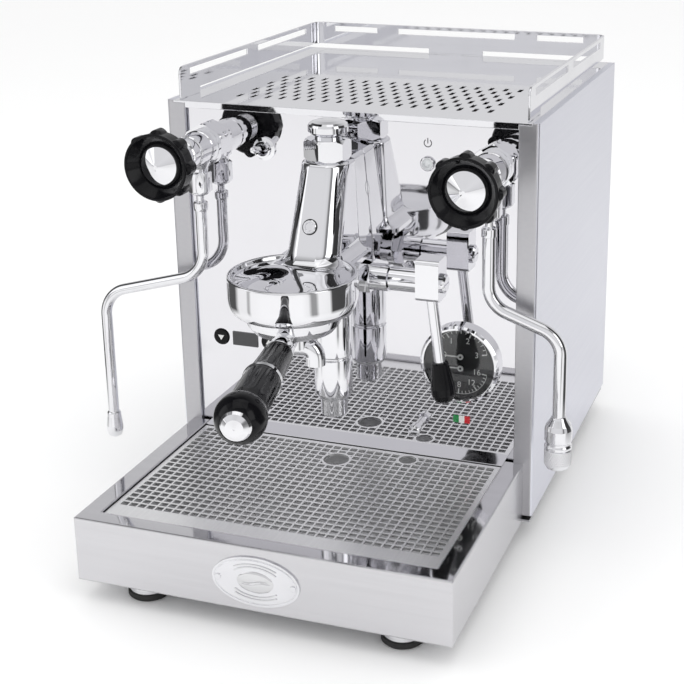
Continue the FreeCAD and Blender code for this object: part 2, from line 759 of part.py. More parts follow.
# exhaust below the neck, ending over the drip grate
parts["exhaust_barrel"] = turned([(exhaust_bore, 178), (barrel_radius, 178), (barrel_radius, barrel_joint_z + 1),
                                  (barrel_radius - 1, barrel_joint_z + 1), (barrel_radius - 1, barrel_joint_z - 1),
                                  (barrel_radius, barrel_joint_z - 1), (barrel_radius, barrel_low + 3),
                                  (barrel_radius - 2, barrel_low), (nozzle_radius, barrel_low),
                                  (nozzle_radius, nozzle_low + 1.5), (nozzle_radius - 1.5, nozzle_low),
                                  (exhaust_bore, nozzle_low)], (0, valve_y, 0))

# ---- brew lever, turning about X through the valve chamber -------------------------------------
shaft = bar((6.5, valve_y, lever_z), (1, 0, 0), shaft_radius, block_x - 6.5)
hub = bar((gland_end_x + 1.0, valve_y, lever_z), (1, 0, 0), hub_radius, block_x - gland_end_x - 1.0)
cam = bar((-cam_wide / 2, valve_y, lever_z - cam_offset), (1, 0, 0), cam_radius, cam_wide + 3)
shaft = joined(shaft, hub, cam)

lean = math.radians(lever_lean)
down = (math.sin(lean), 0, -math.cos(lean))
lever_block = block(block_x, block_x + block_wide, valve_y - block_deep / 2, valve_y + block_deep / 2,
                    block_low, block_top)
block_edges = []
for edge in lever_block.Edges:
    if edge.BoundBox.XLength > block_wide - 0.1:
        block_edges.append(edge)
lever_block = lever_block.makeFillet(3.0, block_edges)
screw_x = block_x + block_wide
lever_screw = turned([(0, 0), (lever_screw_radius, 0), (lever_screw_radius, lever_screw_out - 1.4),
                      (lever_screw_radius - 1.6, lever_screw_out), (0, lever_screw_out)],
                     (screw_x, valve_y, lever_z), (1, 0, 0))
lever_screw = lever_screw.cut(block(screw_x + lever_screw_out - 1, screw_x + 5, valve_y - 6, valve_y + 6,
                                    lever_z - 0.6, lever_z + 0.6))
rod_start = (block_x + block_wide / 2, valve_y, block_low + 6)
rod_long = (block_low + 6 - (lever_z - grip_top_drop)) / math.cos(lean)
lever_rod = bar(rod_start, down, rod_radius, rod_long)
parts["brew_lever"] = Part.Compound([shaft, joined(lever_block, lever_screw, lever_rod)])
grip_at = (rod_start[0] + down[0] * rod_long, valve_y, rod_start[2] + down[2] * rod_long)
parts["lever_grip"] = turned([(0, 0), (grip_top_radius - 0.8, 0), (grip_top_radius, 1), (grip_radius, 19),
                              (grip_radius, 24), (grip_radius - 1.6, 28), (grip_radius - 4.4, 30.2),
                              (0, grip_long)], grip_at, down)

# pin of the brew valve, lifted by the cam
pin_low = lever_z - cam_offset + cam_radius + 0.45
pin = bar((0, valve_y, pin_low), (0, 0, 1), pin_radius, pin_long)
pin = pin.fuse(bar((0, valve_y, pin_low), (0, 0, 1), pin_foot_radius, 3))
pin = pin.fuse(turned([(0, 0), (pin_radius, 0), (pin_head_radius, 6), (pin_head_radius, 9), (0, 9)],
                      (0, valve_y, pin_low + pin_long)))
parts["brew_pin"] = pin.removeSplitter()

# ---- portafilter ---------------------------------------------------------------------------------
turn = math.radians(filter_turn)
ahead = (math.sin(turn), -math.cos(turn), 0)
across = (math.cos(turn), math.sin(turn), 0)


def along_handle(distance, z=handle_z):
    return (ahead[0] * distance, bell_y + ahead[1] * distance, z)


bowl = turned([(bowl_inner, bowl_top + lug_high), (bowl_inner, bowl_floor), (0, bowl_floor), (0, bowl_low),
               (bowl_radius - bowl_round, bowl_low), (bowl_radius - 2.4, bowl_low + 4),
               (bowl_radius, bowl_low + bowl_round), (bowl_radius, bowl_top + lug_high)], (0, bell_y, 0))
for turn_by in (0, 180):
    lug = Part.makeCylinder(lug_radius, lug_high, Vector(0, bell_y, lug_low), Vector(0, 0, 1), lug_span)
    lug.rotate(Vector(0, bell_y, 0), Vector(0, 0, 1), turn_by + filter_turn - lug_span / 2)
    bowl = bowl.fuse(lug.cut(bar((0, bell_y, lug_low - 1), (0, 0, 1), bowl_radius - 1, lug_high + 2)))
neck_root = along_handle(bowl_radius - 3)
socket = taper(neck_root, ahead, 7.4, 8.6, neck_end - bowl_radius + 3)
bowl = joined(bowl, socket)
bowl = bowl.cut(bar((0, bell_y, bowl_low - 1), (0, 0, 1), 3, 10))
parts["filter_bowl"] = bowl

rim_z = bowl_top + lug_high
basket = turned([(0, basket_low), (basket_radius - 3, basket_low), (basket_radius, basket_low + 4),
                 (basket_radius, rim_z), (bowl_radius - 0.4, rim_z), (bowl_radius - 0.4, rim_z + 0.5),
                 (basket_radius - basket_wall, rim_z + 0.5), (basket_radius - basket_wall, basket_low + 4.4),
                 (basket_radius - 3.4, basket_low + basket_wall), (0, basket_low + basket_wall)],
                (0, bell_y, 0))
basket = basket.fuse(ring((0, bell_y, bowl_floor), (0, 0, 1), 20, 17, basket_low - bowl_floor))
parts["filter_basket"] = basket

outlet_top = bowl_low - 7
spout = bar((0, bell_y, outlet_top), (0, 0, 1), spout_block_radius, bowl_low - outlet_top)
tips = []
tops = []
for side in (-1, 1):
    x = across[0] * side * spout_apart
    y = bell_y + across[1] * side * spout_apart
    tips.append((x, y, spout_drop_z))
    tops.append((x, y, outlet_top + 0.2))
spout = spout.fuse(bent_pipe([tips[0], tops[0], tops[1], tips[1]], spout_radius, spout_bend))
for x, y, z in tips:
    spout = spout.cut(bar((x, y, z - 1), (0, 0, 1), spout_bore, 9))
spout = spout.cut(bar((0, bell_y, outlet_top + 2), (0, 0, 1), 3, 10))
parts["twin_spout"] = spout.removeSplitter()

# handle: fluted neck, ring, fluted grip, round knob with a cap
neck_long = ring_at - ring_wide / 2 - neck_end
grip_start = ring_at + ring_wide / 2
neck_part = taper(along_handle(neck_end), ahead, handle_neck_radius, handle_neck_radius + 1.2, neck_long)
grip_part = taper(along_handle(grip_start), ahead, handle_grip_radius - 0.6, handle_grip_radius,
                  knob_at - grip_start)
flutes = []
for step in range(flute_count):
    angle = 2 * math.pi * step / flute_count
    side_by = math.cos(angle)
    up_by = math.sin(angle)
    for start, end, radius in ((neck_end - 2, ring_at - 5, handle_neck_radius + 1.6),
                               (grip_start + 3, knob_at - 13, handle_grip_radius + 0.9)):
        at = along_handle(start)
        spot = (at[0] + across[0] * side_by * radius, at[1] + across[1] * side_by * radius,
                at[2] + up_by * radius)
        flutes.append(bar(spot, ahead, flute_radius, end - start))
neck_part = neck_part.cut(Part.Compound(flutes))
grip_part = grip_part.cut(Part.Compound(flutes))
knob = Part.makeSphere(knob_radius, Vector(*along_handle(knob_at)))
cap_plane = knob_radius - 3.4
flat_cut = bar(along_handle(knob_at + cap_plane), ahead, knob_radius, 10)
knob = knob.cut(flat_cut)
core = bar(along_handle(ring_at - 6), ahead, 6, 12)
neck_part = neck_part.cut(core)
grip_part = grip_part.cut(core)
parts["handle"] = Part.Compound([neck_part, joined(grip_part, knob)])
ring_part = turned([(0, 0), (handle_grip_radius, 0), (handle_grip_radius + 0.6, ring_wide / 2),
                    (handle_grip_radius, ring_wide), (0, ring_wide)], along_handle(ring_at - ring_wide / 2), ahead)
ring_part = ring_part.fuse(core)
end_cap = turned([(0, 0), (handle_cap_radius, 0), (handle_cap_radius - 1.2, 1.8), (handle_cap_radius - 4, 3.6),
                  (0, handle_cap_out - 0.6)], along_handle(knob_at + cap_plane), ahead)
parts["handle_trim"] = Part.Compound([ring_part.removeSplitter(), end_cap])


# ---- valves and wands; side is -1 for steam, 1 for hot water -----------------------------------------
def valve_parts(side, name, pipe_radius, out, run_end_z, pipe_low, tip):
    x = side * valve_x
    nut = hexagon((x, panel_set, valve_z), (0, -1, 0), valve_nut_across, valve_nut_thick)
    tail = bar((x, panel_set, valve_z), (0, 1, 0), valve_tail_radius, 18)
    body_long = valve_front + panel_set - valve_nut_thick
    body = bar((x, panel_set - valve_nut_thick, valve_z), (0, -1, 0), valve_radius, body_long - 9)
    front = taper((x, -valve_front + 9, valve_z), (0, -1, 0), valve_radius - 1.5, valve_radius - 3, 9)
    groove = ring((x, -41, valve_z), (0, -1, 0), valve_radius + 1, valve_radius - 0.7, 1.2)
    socket_low = ball_z - socket_mouth
    neck = bar((x, branch_y, branch_nut_top - 1), (0, 0, 1), 6.5, valve_z - branch_nut_top)
    branch = hexagon((x, branch_y, socket_low), (0, 0, 1), branch_nut_across, branch_nut_top - socket_low)
    valve = joined(nut, tail, body, front, neck, branch)
    valve = valve.cut(groove)
    valve = valve.cut(Part.makeSphere(ball_radius + running, Vector(x, branch_y, ball_z)))
    mouth = math.sqrt((ball_radius + running) ** 2 - socket_mouth ** 2)
    valve = valve.cut(bar((x, branch_y, socket_low - 1), (0, 0, 1), mouth, 1.5))
    valve = valve.cut(bar((x, -20, valve_z), (0, -1, 0), spindle_radius + running, valve_front))
    parts[name + "_valve"] = valve

    wheel_back = wheel_face - wheel_thick
    wheel = bar((x, -wheel_back, valve_z), (0, -1, 0), wheel_radius, wheel_thick)
    lugs = []
    for step in range(lug_count):
        angle = 2 * math.pi * (step + 0.5) / lug_count
        reach = wheel_radius + lug_out - lug_round
        spot = (x + reach * math.cos(angle), -wheel_back - 2, valve_z + reach * math.sin(angle))
        lugs.append(bar(spot, (0, -1, 0), lug_round, lug_long))
    wheel = joined(wheel, *lugs)
    wheel = wheel.cut(taper((x, -wheel_face + wheel_dish_deep, valve_z), (0, -1, 0), wheel_cap_radius + 1,
                            wheel_dish_radius, wheel_dish_deep))
    cap_seat = -wheel_face + wheel_dish_deep
    wheel = wheel.cut(bar((x, -wheel_back + 1, valve_z), (0, -1, 0), spindle_radius, 20))
    parts[name + "_wheel"] = wheel
    dome = turned([(0, 0), (wheel_cap_radius, 0), (wheel_cap_radius, 2.0), (wheel_cap_radius - 0.6, 2.7),
                   (3, wheel_cap_out - 0.5), (1.4, wheel_cap_out), (0, wheel_cap_out)],
                  (x, cap_seat, valve_z), (0, -1, 0))
    spindle = bar((x, -30, valve_z), (0, -1, 0), spindle_radius, wheel_face - wheel_dish_deep - 30)
    parts[name + "_spindle"] = joined(dome, spindle)

    ball = Part.makeSphere(ball_radius, Vector(x, branch_y, ball_z))
    ball = ball.cut(bar((x, branch_y, ball_z - 10), (0, 0, 1), tube_neck_radius + running, 14))
    parts[name + "_ball"] = ball

    neck_tube = bar((x, branch_y, collar_z - 1), (0, 0, 1), tube_neck_radius, ball_z + 3.5 - collar_z)
    collar = turned([(0, 0), (collar_radius, 0), (collar_radius, collar_high - 1),
                     (collar_radius - 1, collar_high), (0, collar_high)],
                    (x, branch_y, collar_z - collar_high))
    corner = (x, branch_y, steam_reach_z + 4)
    far = (x + side * out, branch_y, run_end_z - 10)
    pipe = bent_pipe([(x, branch_y, collar_z - 1), corner, far, (far[0], branch_y, pipe_low)],
                     pipe_radius, 15.0)
    end_piece = turned(tip, (far[0], branch_y, 0))
    parts[name + "_wand"] = Part.Compound([joined(neck_tube, collar, pipe), end_piece])


steam_tip = [(0, steam_pipe_low), (wand_radius, steam_pipe_low), (wand_radius + 1, steam_pipe_low - 1.5),
             (steam_tip_radius, steam_pipe_low - 11), (steam_tip_radius, steam_pipe_low - 14),
             (steam_tip_radius - 2.6, steam_tip_low + 1.6), (steam_tip_radius - 4.6, steam_tip_low),
             (0, steam_tip_low)]
nozzle_top = water_pipe_low
water_tip = [(0, nozzle_top), (water_wand_radius + 1.3, nozzle_top), (water_nozzle_radius - 1, nozzle_top - 5),
             (water_nozzle_radius, nozzle_top - 7), (water_nozzle_radius, nozzle_top - 18),
             (water_nozzle_radius - 0.8, nozzle_top - 19), (water_nozzle_radius - 0.8, nozzle_top - 21),
             (water_nozzle_radius, nozzle_top - 22), (water_nozzle_radius, water_nozzle_low + 2),
             (water_nozzle_radius - 2, water_nozzle_low), (0, water_nozzle_low)]
valve_parts(-1, "steam", wand_radius, steam_out, steam_run_end_z, steam_pipe_low, steam_tip)
valve_parts(1, "water", water_wand_radius, water_out, water_run_end_z, water_pipe_low, water_tip)

# ---- pressure gauge with two needles -----------------------------------------------------------------------
face_y = panel_set - gauge_out
dial_y = panel_set - 1.0
glass_y = face_y + 1.2
case = turned([(0, gauge_behind), (gauge_radius - 4, gauge_behind), (gauge_radius - 4, 1.0),
               (gauge_radius - 4, 0), (gauge_radius, 0), (gauge_radius, -gauge_out + 1.6),
               (gauge_radius - 1.6, -gauge_out), (gauge_radius - gauge_wall, -gauge_out),
               (gauge_radius - gauge_wall, 0), (0, 0)], (gauge_x, panel_set, gauge_z), (0, 1, 0))
parts["gauge_case"] = case
dial = bar((gauge_x, panel_set, gauge_z), (0, -1, 0), gauge_radius - gauge_wall - 0.1, dial_thick)
hub_low = bar((gauge_x, dial_y, gauge_z + needle_low), (0, -1, 0), 0.8, 1.9)
hub_up = bar((gauge_x, dial_y, gauge_z + needle_up), (0, -1, 0), 0.8, 1.9)
parts["gauge_dial"] = joined(dial, hub_low, hub_up)
parts["gauge_glass"] = bar((gauge_x, glass_y, gauge_z), (0, 1, 0), gauge_radius - gauge_wall, glass_thick)


def needle(z):
    y = dial_y - 0.6
    hub = bar((gauge_x, y, z), (0, -1, 0), 2.2, 0.9)
    blade = block(gauge_x - needle_long, gauge_x, y - needle_thick, y, z - 0.5, z + 0.5)
    body = joined(hub, blade)
    return body.cut(bar((gauge_x, y + 1, z), (0, -1, 0), 0.8 + running, 4))


parts["needle_boiler"] = needle(gauge_z + needle_up)
parts["needle_pump"] = needle(gauge_z + needle_low)

# ---- display, buttons, switch, lamp and adjusting screw ---------------------------------------------------------
parts["display_window"] = block(display_x - display_wide / 2, display_x + display_wide / 2, panel_set - 0.8,
                                panel_set, display_z - display_high / 2, display_z + display_high / 2)
for side, name in ((-1, "button_down"), (1, "button_up")):
    at = (display_x + side * button_apart, panel_set + 8, display_z)
    parts[name] = turned([(0, 0), (button_radius, 0), (button_radius, 8 + button_out - 0.6),
                          (button_radius - 0.6, 8 + button_out), (0, 8 + button_out)], at, (0, -1, 0))
# holder behind the panel that carries the display and guides both buttons
holder = block(display_x - 30, display_x + 30, panel_back, panel_back + 14, display_z - 11, display_z + 11)
for side in (-1, 1):
    holder = holder.cut(bar((display_x + side * button_apart, panel_back - 1, display_z), (0, 1, 0),
                            button_radius + running, 10.0))
parts["button_holder"] = holder

collar = turned([(0, 0), (toggle_collar_radius, 0), (toggle_collar_radius, 1.6), (6.2, 2.2),
                 (6.2, toggle_out), (0, toggle_out)], (toggle_x, panel_set, toggle_z), (0, -1, 0))
collar = collar.fuse(bar((toggle_x, panel_set, toggle_z), (0, 1, 0), 5.0, 16))
pivot_y = panel_set + bat_pivot_in
collar = collar.cut(taper((toggle_x, pivot_y + 3.4, toggle_z), (0, -1, 0), 3.6, 5.2, 14))
collar = collar.cut(Part.makeSphere(4.0, Vector(toggle_x, pivot_y, toggle_z)))
parts["toggle_bush"] = collar
tilt = math.radians(bat_tilt)
bat_way = (0, -math.cos(tilt), math.sin(tilt))
bat = turned([(0, 0), (1.5, 0), (2.5, bat_length - 3), (1.9, bat_length - 1), (0, bat_length)],
             (toggle_x, pivot_y, toggle_z), bat_way)
bat = bat.fuse(Part.makeSphere(3.4, Vector(toggle_x, pivot_y, toggle_z)))
parts["toggle_bat"] = bat.removeSplitter()

parts["pilot_lamp"] = joined(
    turned([(0, 0), (lamp_radius, 0), (lamp_radius, 1.2), (lamp_radius - 1.2, 2.0), (2.6, 2.0), (1.4, 3.2),
            (0, 3.4)], (lamp_x, panel_set, lamp_z), (0, -1, 0)),
    bar((lamp_x, panel_set, lamp_z), (0, 1, 0), lamp_radius - 1.2, 14))

knob_head = turned([(0, 0), (3.0, 0), (3.0, adjust_out + 12 - 7), (adjust_radius, adjust_out + 12 - 6),
                    (adjust_radius, adjust_out + 11), (adjust_radius - 1, adjust_out + 12),
                    (0, adjust_out + 12)], (adjust_x, panel_set + 12, adjust_z), (0, -1, 0))
knob_head = knob_head.cut(block(adjust_x - 5, adjust_x + 5, panel_set - adjust_out - 1,
                                panel_set - adjust_out + 1.2, adjust_z - 0.6, adjust_z + 0.6))
parts["adjust_screw"] = knob_head
parts["colour_strip"] = block(strip_x - strip_wide / 2, strip_x + strip_wide / 2, panel_set - 0.6, panel_set,
                              strip_z - strip_high / 2, strip_z + strip_high / 2)

# ---- boiler with heater flange, lying across the machine on two saddles -----------------------------------------
half_long = boiler_long / 2
boiler = turned([(0, -half_long), (boiler_radius - 16, -half_long + 1), (boiler_radius - 4, -half_long + 6),
                 (boiler_radius, -half_long + boiler_dome), (boiler_radius, half_long - boiler_dome),
                 (boiler_radius - 4, half_long - 6), (boiler_radius - 16, half_long - 1), (0, half_long)],
                (0, boiler_y, boiler_z), (1, 0, 0))
boiler = boiler.fuse(bar((half_long - 4, boiler_y, boiler_z), (1, 0, 0), 20, 12))
terminals = [bar((half_long + 8, boiler_y, boiler_z), (1, 0, 0), 17, 3)]
for step in range(3):
    angle = 2 * math.pi * step / 3
    terminals.append(bar((half_long + 11, boiler_y + 9 * math.cos(angle), boiler_z + 9 * math.sin(angle)),
                         (1, 0, 0), 2.5, 9))
parts["boiler"] = Part.Compound([boiler, joined(*terminals)])
saddles = []
for side in (-1, 1):
    x = side * saddle_x
    saddles.append(block(x - saddle_wide / 2, x + saddle_wide / 2, boiler_y - 34, boiler_y + 34, base_top,
                         boiler_z))
saddle = Part.Compound(saddles).cut(bar((-120, boiler_y, boiler_z), (1, 0, 0), boiler_radius, 240))

# ---- water tank, pump, control box, pipes and mains inlet --------------------------------------------------------
tank = block(-tank_x, tank_x, tank_front_y, tank_rear_y, tank_low, tank_top)
upright_edges = [edge for edge in tank.Edges if edge.BoundBox.ZLength > 10]
tank = tank.makeFillet(10, upright_edges)
tank_hollow = block(-tank_x + tank_wall, tank_x - tank_wall, tank_front_y + tank_wall, tank_rear_y - tank_wall,
                    tank_low + tank_wall, tank_top)
hollow_edges = [edge for edge in tank_hollow.Edges if edge.BoundBox.ZLength > 10]
tank = tank.cut(tank_hollow.makeFillet(7.5, hollow_edges))
parts["water_tank"] = tank
shelf = block(-floor_half + sheet, floor_half - sheet, tank_front_y - 4, tank_rear_y + 4, tank_low - 2, tank_low)
for side in (-1, 1):
    leg = sorted((side * 112, side * 114))
    shelf = shelf.fuse(block(leg[0], leg[1], tank_front_y, tank_rear_y, base_top, tank_low - 2))
parts["inner_brackets"] = Part.Compound([saddle, shelf.removeSplitter()])

pump = bar((pump_x, pump_y, pump_z), (0, 1, 0), pump_radius, pump_long)
pump = joined(pump, block(pump_x - 14, pump_x + 14, pump_y + 16, pump_y + 58, base_top, pump_z + 19),
              bar((pump_x, pump_y - 12, pump_z), (0, 1, 0), 5, 12),
              bar((pump_x, pump_y + pump_long, pump_z), (0, 1, 0), 5, 8))
parts["pump"] = pump
parts["control_box"] = block(control_x - 27, control_x + 27, control_y - 30, control_y + 52, base_top, 66)

steam_line = bent_pipe([(-valve_x, panel_set + 18, valve_z), (-valve_x, 60, valve_z), (-60, 60, valve_z),
                        (-60, boiler_y, valve_z), (-60, boiler_y, boiler_z + boiler_radius - 2)],
                       pipe_radius, 12)
water_line = bent_pipe([(valve_x, panel_set + 18, valve_z), (valve_x, 60, valve_z), (70, 60, valve_z),
                        (70, boiler_y, valve_z), (70, boiler_y, boiler_z + boiler_radius - 6)],
                       pipe_radius, 12)
boss_end = back_y + 14
group_line = bent_pipe([(0, boss_end, 262), (0, boiler_y, 262), (0, boiler_y, boiler_z + boiler_radius - 2)],
                       pipe_radius + 1, 16)
feed_line = bent_pipe([(pump_x, pump_y - 12, pump_z), (pump_x, 34, pump_z), (pump_x, 34, 98),
                       (30, 34, 98), (30, boiler_y - 10, 98), (30, boiler_y - 10, 124)], pipe_radius, 8)
pipes = []
for line in (steam_line, water_line, group_line, feed_line):
    pipes.append(line.cut(boiler))
suction = bent_pipe([(pump_x, pump_y + pump_long + 8, pump_z), (pump_x, 196, pump_z), (pump_x, 196, tank_low - 2)],
                    pipe_radius - 1, 5)
pipes.append(suction)
parts["pipes"] = Part.Compound(pipes)

inlet = block(inlet_x - inlet_wide / 2, inlet_x + inlet_wide / 2, body_deep - 20, body_deep,
              inlet_z - inlet_high / 2, inlet_z + inlet_high / 2)
inlet = inlet.fuse(block(inlet_x - inlet_wide / 2 - 3, inlet_x + inlet_wide / 2 + 3, body_deep, body_deep + 2,
                         inlet_z - inlet_high / 2 - 3, inlet_z + inlet_high / 2 + 3))
inlet = inlet.cut(block(inlet_x - 12, inlet_x + 12, body_deep - 14, body_deep + 3, inlet_z - 8, inlet_z + 8))
for step in (-1, 0, 1):
    inlet = inlet.fuse(block(inlet_x + step * 7 - 1, inlet_x + step * 7 + 1, body_deep - 14, body_deep - 3,
                             inlet_z - 2, inlet_z + 2))
parts["mains_inlet"] = inlet.removeSplitter()

screws = []
for x in (-125, 0, 125):
    for z in (34, 300):
        screws.append(turned([(0, 0), (4, 0), (3.4, 1.4), (0, 2.0)], (x, body_deep, z), (0, 1, 0)))
parts["rear_screws"] = Part.Compound(screws)

# ---- put the origin at the bottom centre and write every piece ------------------------------------------------------
whole = FreeCAD.BoundBox()
for shape in parts.values():
    whole.add(shape.BoundBox)
shift = Vector(-whole.Center.x, -whole.Center.y, -whole.ZMin)
os.makedirs("parts", exist_ok=True)
for name, shape in parts.items():
    placed = shape.copy()
    placed.translate(shift)
    placed.exportStep("parts/" + name + ".step")
print("shift", [round(v, 4) for v in shift])
print("size", round(whole.XLength, 2), round(whole.YLength, 2), round(whole.ZLength, 2), "pieces", len(parts))
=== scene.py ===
import math
import bpy
from mathutils import Matrix, Vector


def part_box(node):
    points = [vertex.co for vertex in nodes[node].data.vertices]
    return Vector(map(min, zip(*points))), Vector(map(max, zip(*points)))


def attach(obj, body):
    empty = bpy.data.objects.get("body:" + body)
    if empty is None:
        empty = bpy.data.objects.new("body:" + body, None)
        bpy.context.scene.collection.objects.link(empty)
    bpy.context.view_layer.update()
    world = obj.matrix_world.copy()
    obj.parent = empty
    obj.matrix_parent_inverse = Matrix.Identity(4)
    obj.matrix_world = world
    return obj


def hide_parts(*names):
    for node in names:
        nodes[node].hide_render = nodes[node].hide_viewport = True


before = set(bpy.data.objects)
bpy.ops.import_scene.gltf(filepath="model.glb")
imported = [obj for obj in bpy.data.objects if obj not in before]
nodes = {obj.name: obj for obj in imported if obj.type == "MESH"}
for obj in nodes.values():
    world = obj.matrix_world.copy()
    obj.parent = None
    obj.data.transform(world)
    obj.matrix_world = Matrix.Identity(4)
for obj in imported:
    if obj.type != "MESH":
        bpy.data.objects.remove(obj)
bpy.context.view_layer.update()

# middle of the machine at the counter, on the plane of the front flanges
panelLow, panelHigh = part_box("front_panel")
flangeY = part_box("side_left")[0].y
middle = Vector(((panelLow.x + panelHigh.x) / 2, flangeY, 0))


# a point given in millimetres from the middle of the machine
def spot(x, y, z):
    return middle + Vector((x, y, z)) / 1000


# node tools
def addNode(tree, kind, **values):
    node = tree.nodes.new(kind)
    for key, value in values.items():
        setattr(node, key, value)
    return node


# a socket is joined to the input, anything else becomes the input's own value
def feed(tree, given, target):
    if hasattr(given, "is_output"):
        tree.links.new(given, target)
    else:
        target.default_value = given


def mathNode(tree, operation, first, second=None, clamp=False):
    node = addNode(tree, "ShaderNodeMath", operation=operation, use_clamp=clamp)
    feed(tree, first, node.inputs[0])
    if second is not None:
        feed(tree, second, node.inputs[1])
    return node.outputs[0]


def times(tree, first, second, clamp=False):
    return mathNode(tree, "MULTIPLY", first, second, clamp)


def splitOf(tree, vector):
    node = addNode(tree, "ShaderNodeSeparateXYZ")
    feed(tree, vector, node.inputs["Vector"])
    return node.outputs


def noiseOf(tree, vector, scale, detail=3.0, rough=0.5):
    noise = addNode(tree, "ShaderNodeTexNoise")
    for label, given in (("Vector", vector), ("Scale", scale), ("Detail", detail), ("Roughness", rough)):
        feed(tree, given, noise.inputs[label])
    return noise.outputs["Fac"]


def stretched(tree, vector, scale):
    node = addNode(tree, "ShaderNodeVectorMath", operation="MULTIPLY")
    feed(tree, vector, node.inputs[0])
    feed(tree, scale, node.inputs[1])
    return node.outputs[0]


def ranged(tree, value, low, high, outLow=0.0, outHigh=1.0):
    node = addNode(tree, "ShaderNodeMapRange")
    for label, given in (("Value", value), ("From Min", low), ("From Max", high), ("To Min", outLow),
                         ("To Max", outHigh)):
        feed(tree, given, node.inputs[label])
    return node.outputs["Result"]


def mixOf(tree, factor, first, second, blend="MIX"):
    mix = addNode(tree, "ShaderNodeMix", data_type="RGBA", blend_type=blend)
    for label, given in (("Factor", factor), ("A", first), ("B", second)):
        feed(tree, given, mix.inputs[label])
    return mix.outputs["Result"]


# a node group with its sockets inside: what is given to it and what it gives back
def newGroup(name, inputs, outputs=("Height", "Roughness", "Tone")):
    group = bpy.data.node_groups.new(name, "ShaderNodeTree")
    group.interface.new_socket(name="Vector", in_out="INPUT", socket_type="NodeSocketVector")
    for label, value in inputs.items():
        kind = "NodeSocketFloat" if isinstance(value, float) else "NodeSocketVector"
        group.interface.new_socket(name=label, in_out="INPUT", socket_type=kind).default_value = value
    for label in outputs:
        group.interface.new_socket(name=label, in_out="OUTPUT", socket_type="NodeSocketFloat")
    return group, group.nodes.new("NodeGroupInput").outputs, group.nodes.new("NodeGroupOutput").inputs


def roughBetween(tree, value, low, high, given):
    return ranged(tree, value, low, high, given["Low Roughness"], given["High Roughness"])


# long fine lines left by the finishing belt
grainGroup, given, result = newGroup("brushGrain", {"Stretch": (1, 1, 1), "Low Roughness": 0.2,
                                                    "High Roughness": 0.4})
lines = stretched(grainGroup, given["Vector"], given["Stretch"])
fineLines = noiseOf(grainGroup, lines, 1.0, 2.0, 0.6)
broadLines = noiseOf(grainGroup, lines, 0.22, 3.0, 0.5)
patches = noiseOf(grainGroup, given["Vector"], 9.0, 3.0, 0.5)
mixed = mathNode(grainGroup, "ADD", times(grainGroup, fineLines, 0.65), times(grainGroup, broadLines, 0.35))
grainRough = mathNode(grainGroup, "ADD", times(grainGroup, mixed, 0.7), times(grainGroup, patches, 0.3))
feed(grainGroup, mixed, result["Height"])
feed(grainGroup, roughBetween(grainGroup, grainRough, 0.3, 0.7, given), result["Roughness"])
feed(grainGroup, ranged(grainGroup, broadLines, 0.3, 0.7), result["Tone"])

# wiped finger marks and hairline scratches on polished metal
marksGroup, given, result = newGroup("polishMarks", {"Low Roughness": 0.03, "High Roughness": 0.1,
                                                     "Scratches": 0.3})
wipes = noiseOf(marksGroup, stretched(marksGroup, given["Vector"], (1.0, 1.6, 0.7)), 14.0, 4.0, 0.55)
swirl = noiseOf(marksGroup, given["Vector"], 55.0, 3.0, 0.6)
hairs = noiseOf(marksGroup, stretched(marksGroup, given["Vector"], (900.0, 45.0, 30.0)), 1.0, 1.0, 0.5)
hairHeight = times(marksGroup, ranged(marksGroup, hairs, 0.66, 0.74), given["Scratches"])
swirlMask = times(marksGroup, ranged(marksGroup, wipes, 0.48, 0.72), swirl, True)
feed(marksGroup, mathNode(marksGroup, "ADD", hairHeight, times(marksGroup, wipes, 0.35)), result["Height"])
feed(marksGroup, roughBetween(marksGroup, swirlMask, 0.0, 0.6, given), result["Roughness"])
feed(marksGroup, swirlMask, result["Tone"])

# slow waves of thin rolled sheet or a cast skin
waveGroup, given, result = newGroup("sheetWaves", {"Scale": 12.0}, ("Height",))
feed(waveGroup, noiseOf(waveGroup, given["Vector"], given["Scale"], 1.0), result["Height"])

# small pits and flow marks of moulded plastic or rubber
mouldGroup, given, result = newGroup("mouldSkin", {"Scale": 1200.0, "Low Roughness": 0.2,
                                                   "High Roughness": 0.35})
rubbed = noiseOf(mouldGroup, given["Vector"], 60.0, 4.0, 0.6)
feed(mouldGroup, noiseOf(mouldGroup, given["Vector"], given["Scale"], 2.0), result["Height"])
feed(mouldGroup, roughBetween(mouldGroup, rubbed, 0.35, 0.7, given), result["Roughness"])
feed(mouldGroup, ranged(mouldGroup, rubbed, 0.35, 0.7), result["Tone"])
print("node groups ready")


# materials
def startMaterial(name, metallic, roughness, base):
    material = bpy.data.materials.new(name)
    material.use_nodes = True
    tree = material.node_tree
    shader = tree.nodes["Principled BSDF"].inputs
    shader["Metallic"].default_value = metallic
    shader["Roughness"].default_value = roughness
    shader["Base Color"].default_value = (*base, 1)
    coordinates = addNode(tree, "ShaderNodeTexCoord").outputs["Object"]
    material.diffuse_color = (*base, 1)
    return material, tree, shader, coordinates


def placeGroup(tree, group, vector, low=None, high=None, **values):
    node = addNode(tree, "ShaderNodeGroup", node_tree=group)
    feed(tree, vector, node.inputs["Vector"])
    if low is not None:
        values.update({"Low Roughness": low, "High Roughness": high})
    for key, value in values.items():
        node.inputs[key].default_value = value
    return node.outputs


def toneBetween(tree, shader, tone, first, second):
    feed(tree, mixOf(tree, tone, (*first, 1), (*second, 1)), shader["Base Color"])


def bumpFrom(tree, shader, height, strength, distance, edge=0.0):
    bump = addNode(tree, "ShaderNodeBump")
    if edge:
        rounding = addNode(tree, "ShaderNodeBevel", samples=6)
        rounding.inputs["Radius"].default_value = edge
        feed(tree, rounding.outputs["Normal"], bump.inputs["Normal"])
    for label, given in (("Strength", strength), ("Distance", distance), ("Height", height)):
        feed(tree, given, bump.inputs[label])
    feed(tree, bump.outputs["Normal"], shader["Normal"])


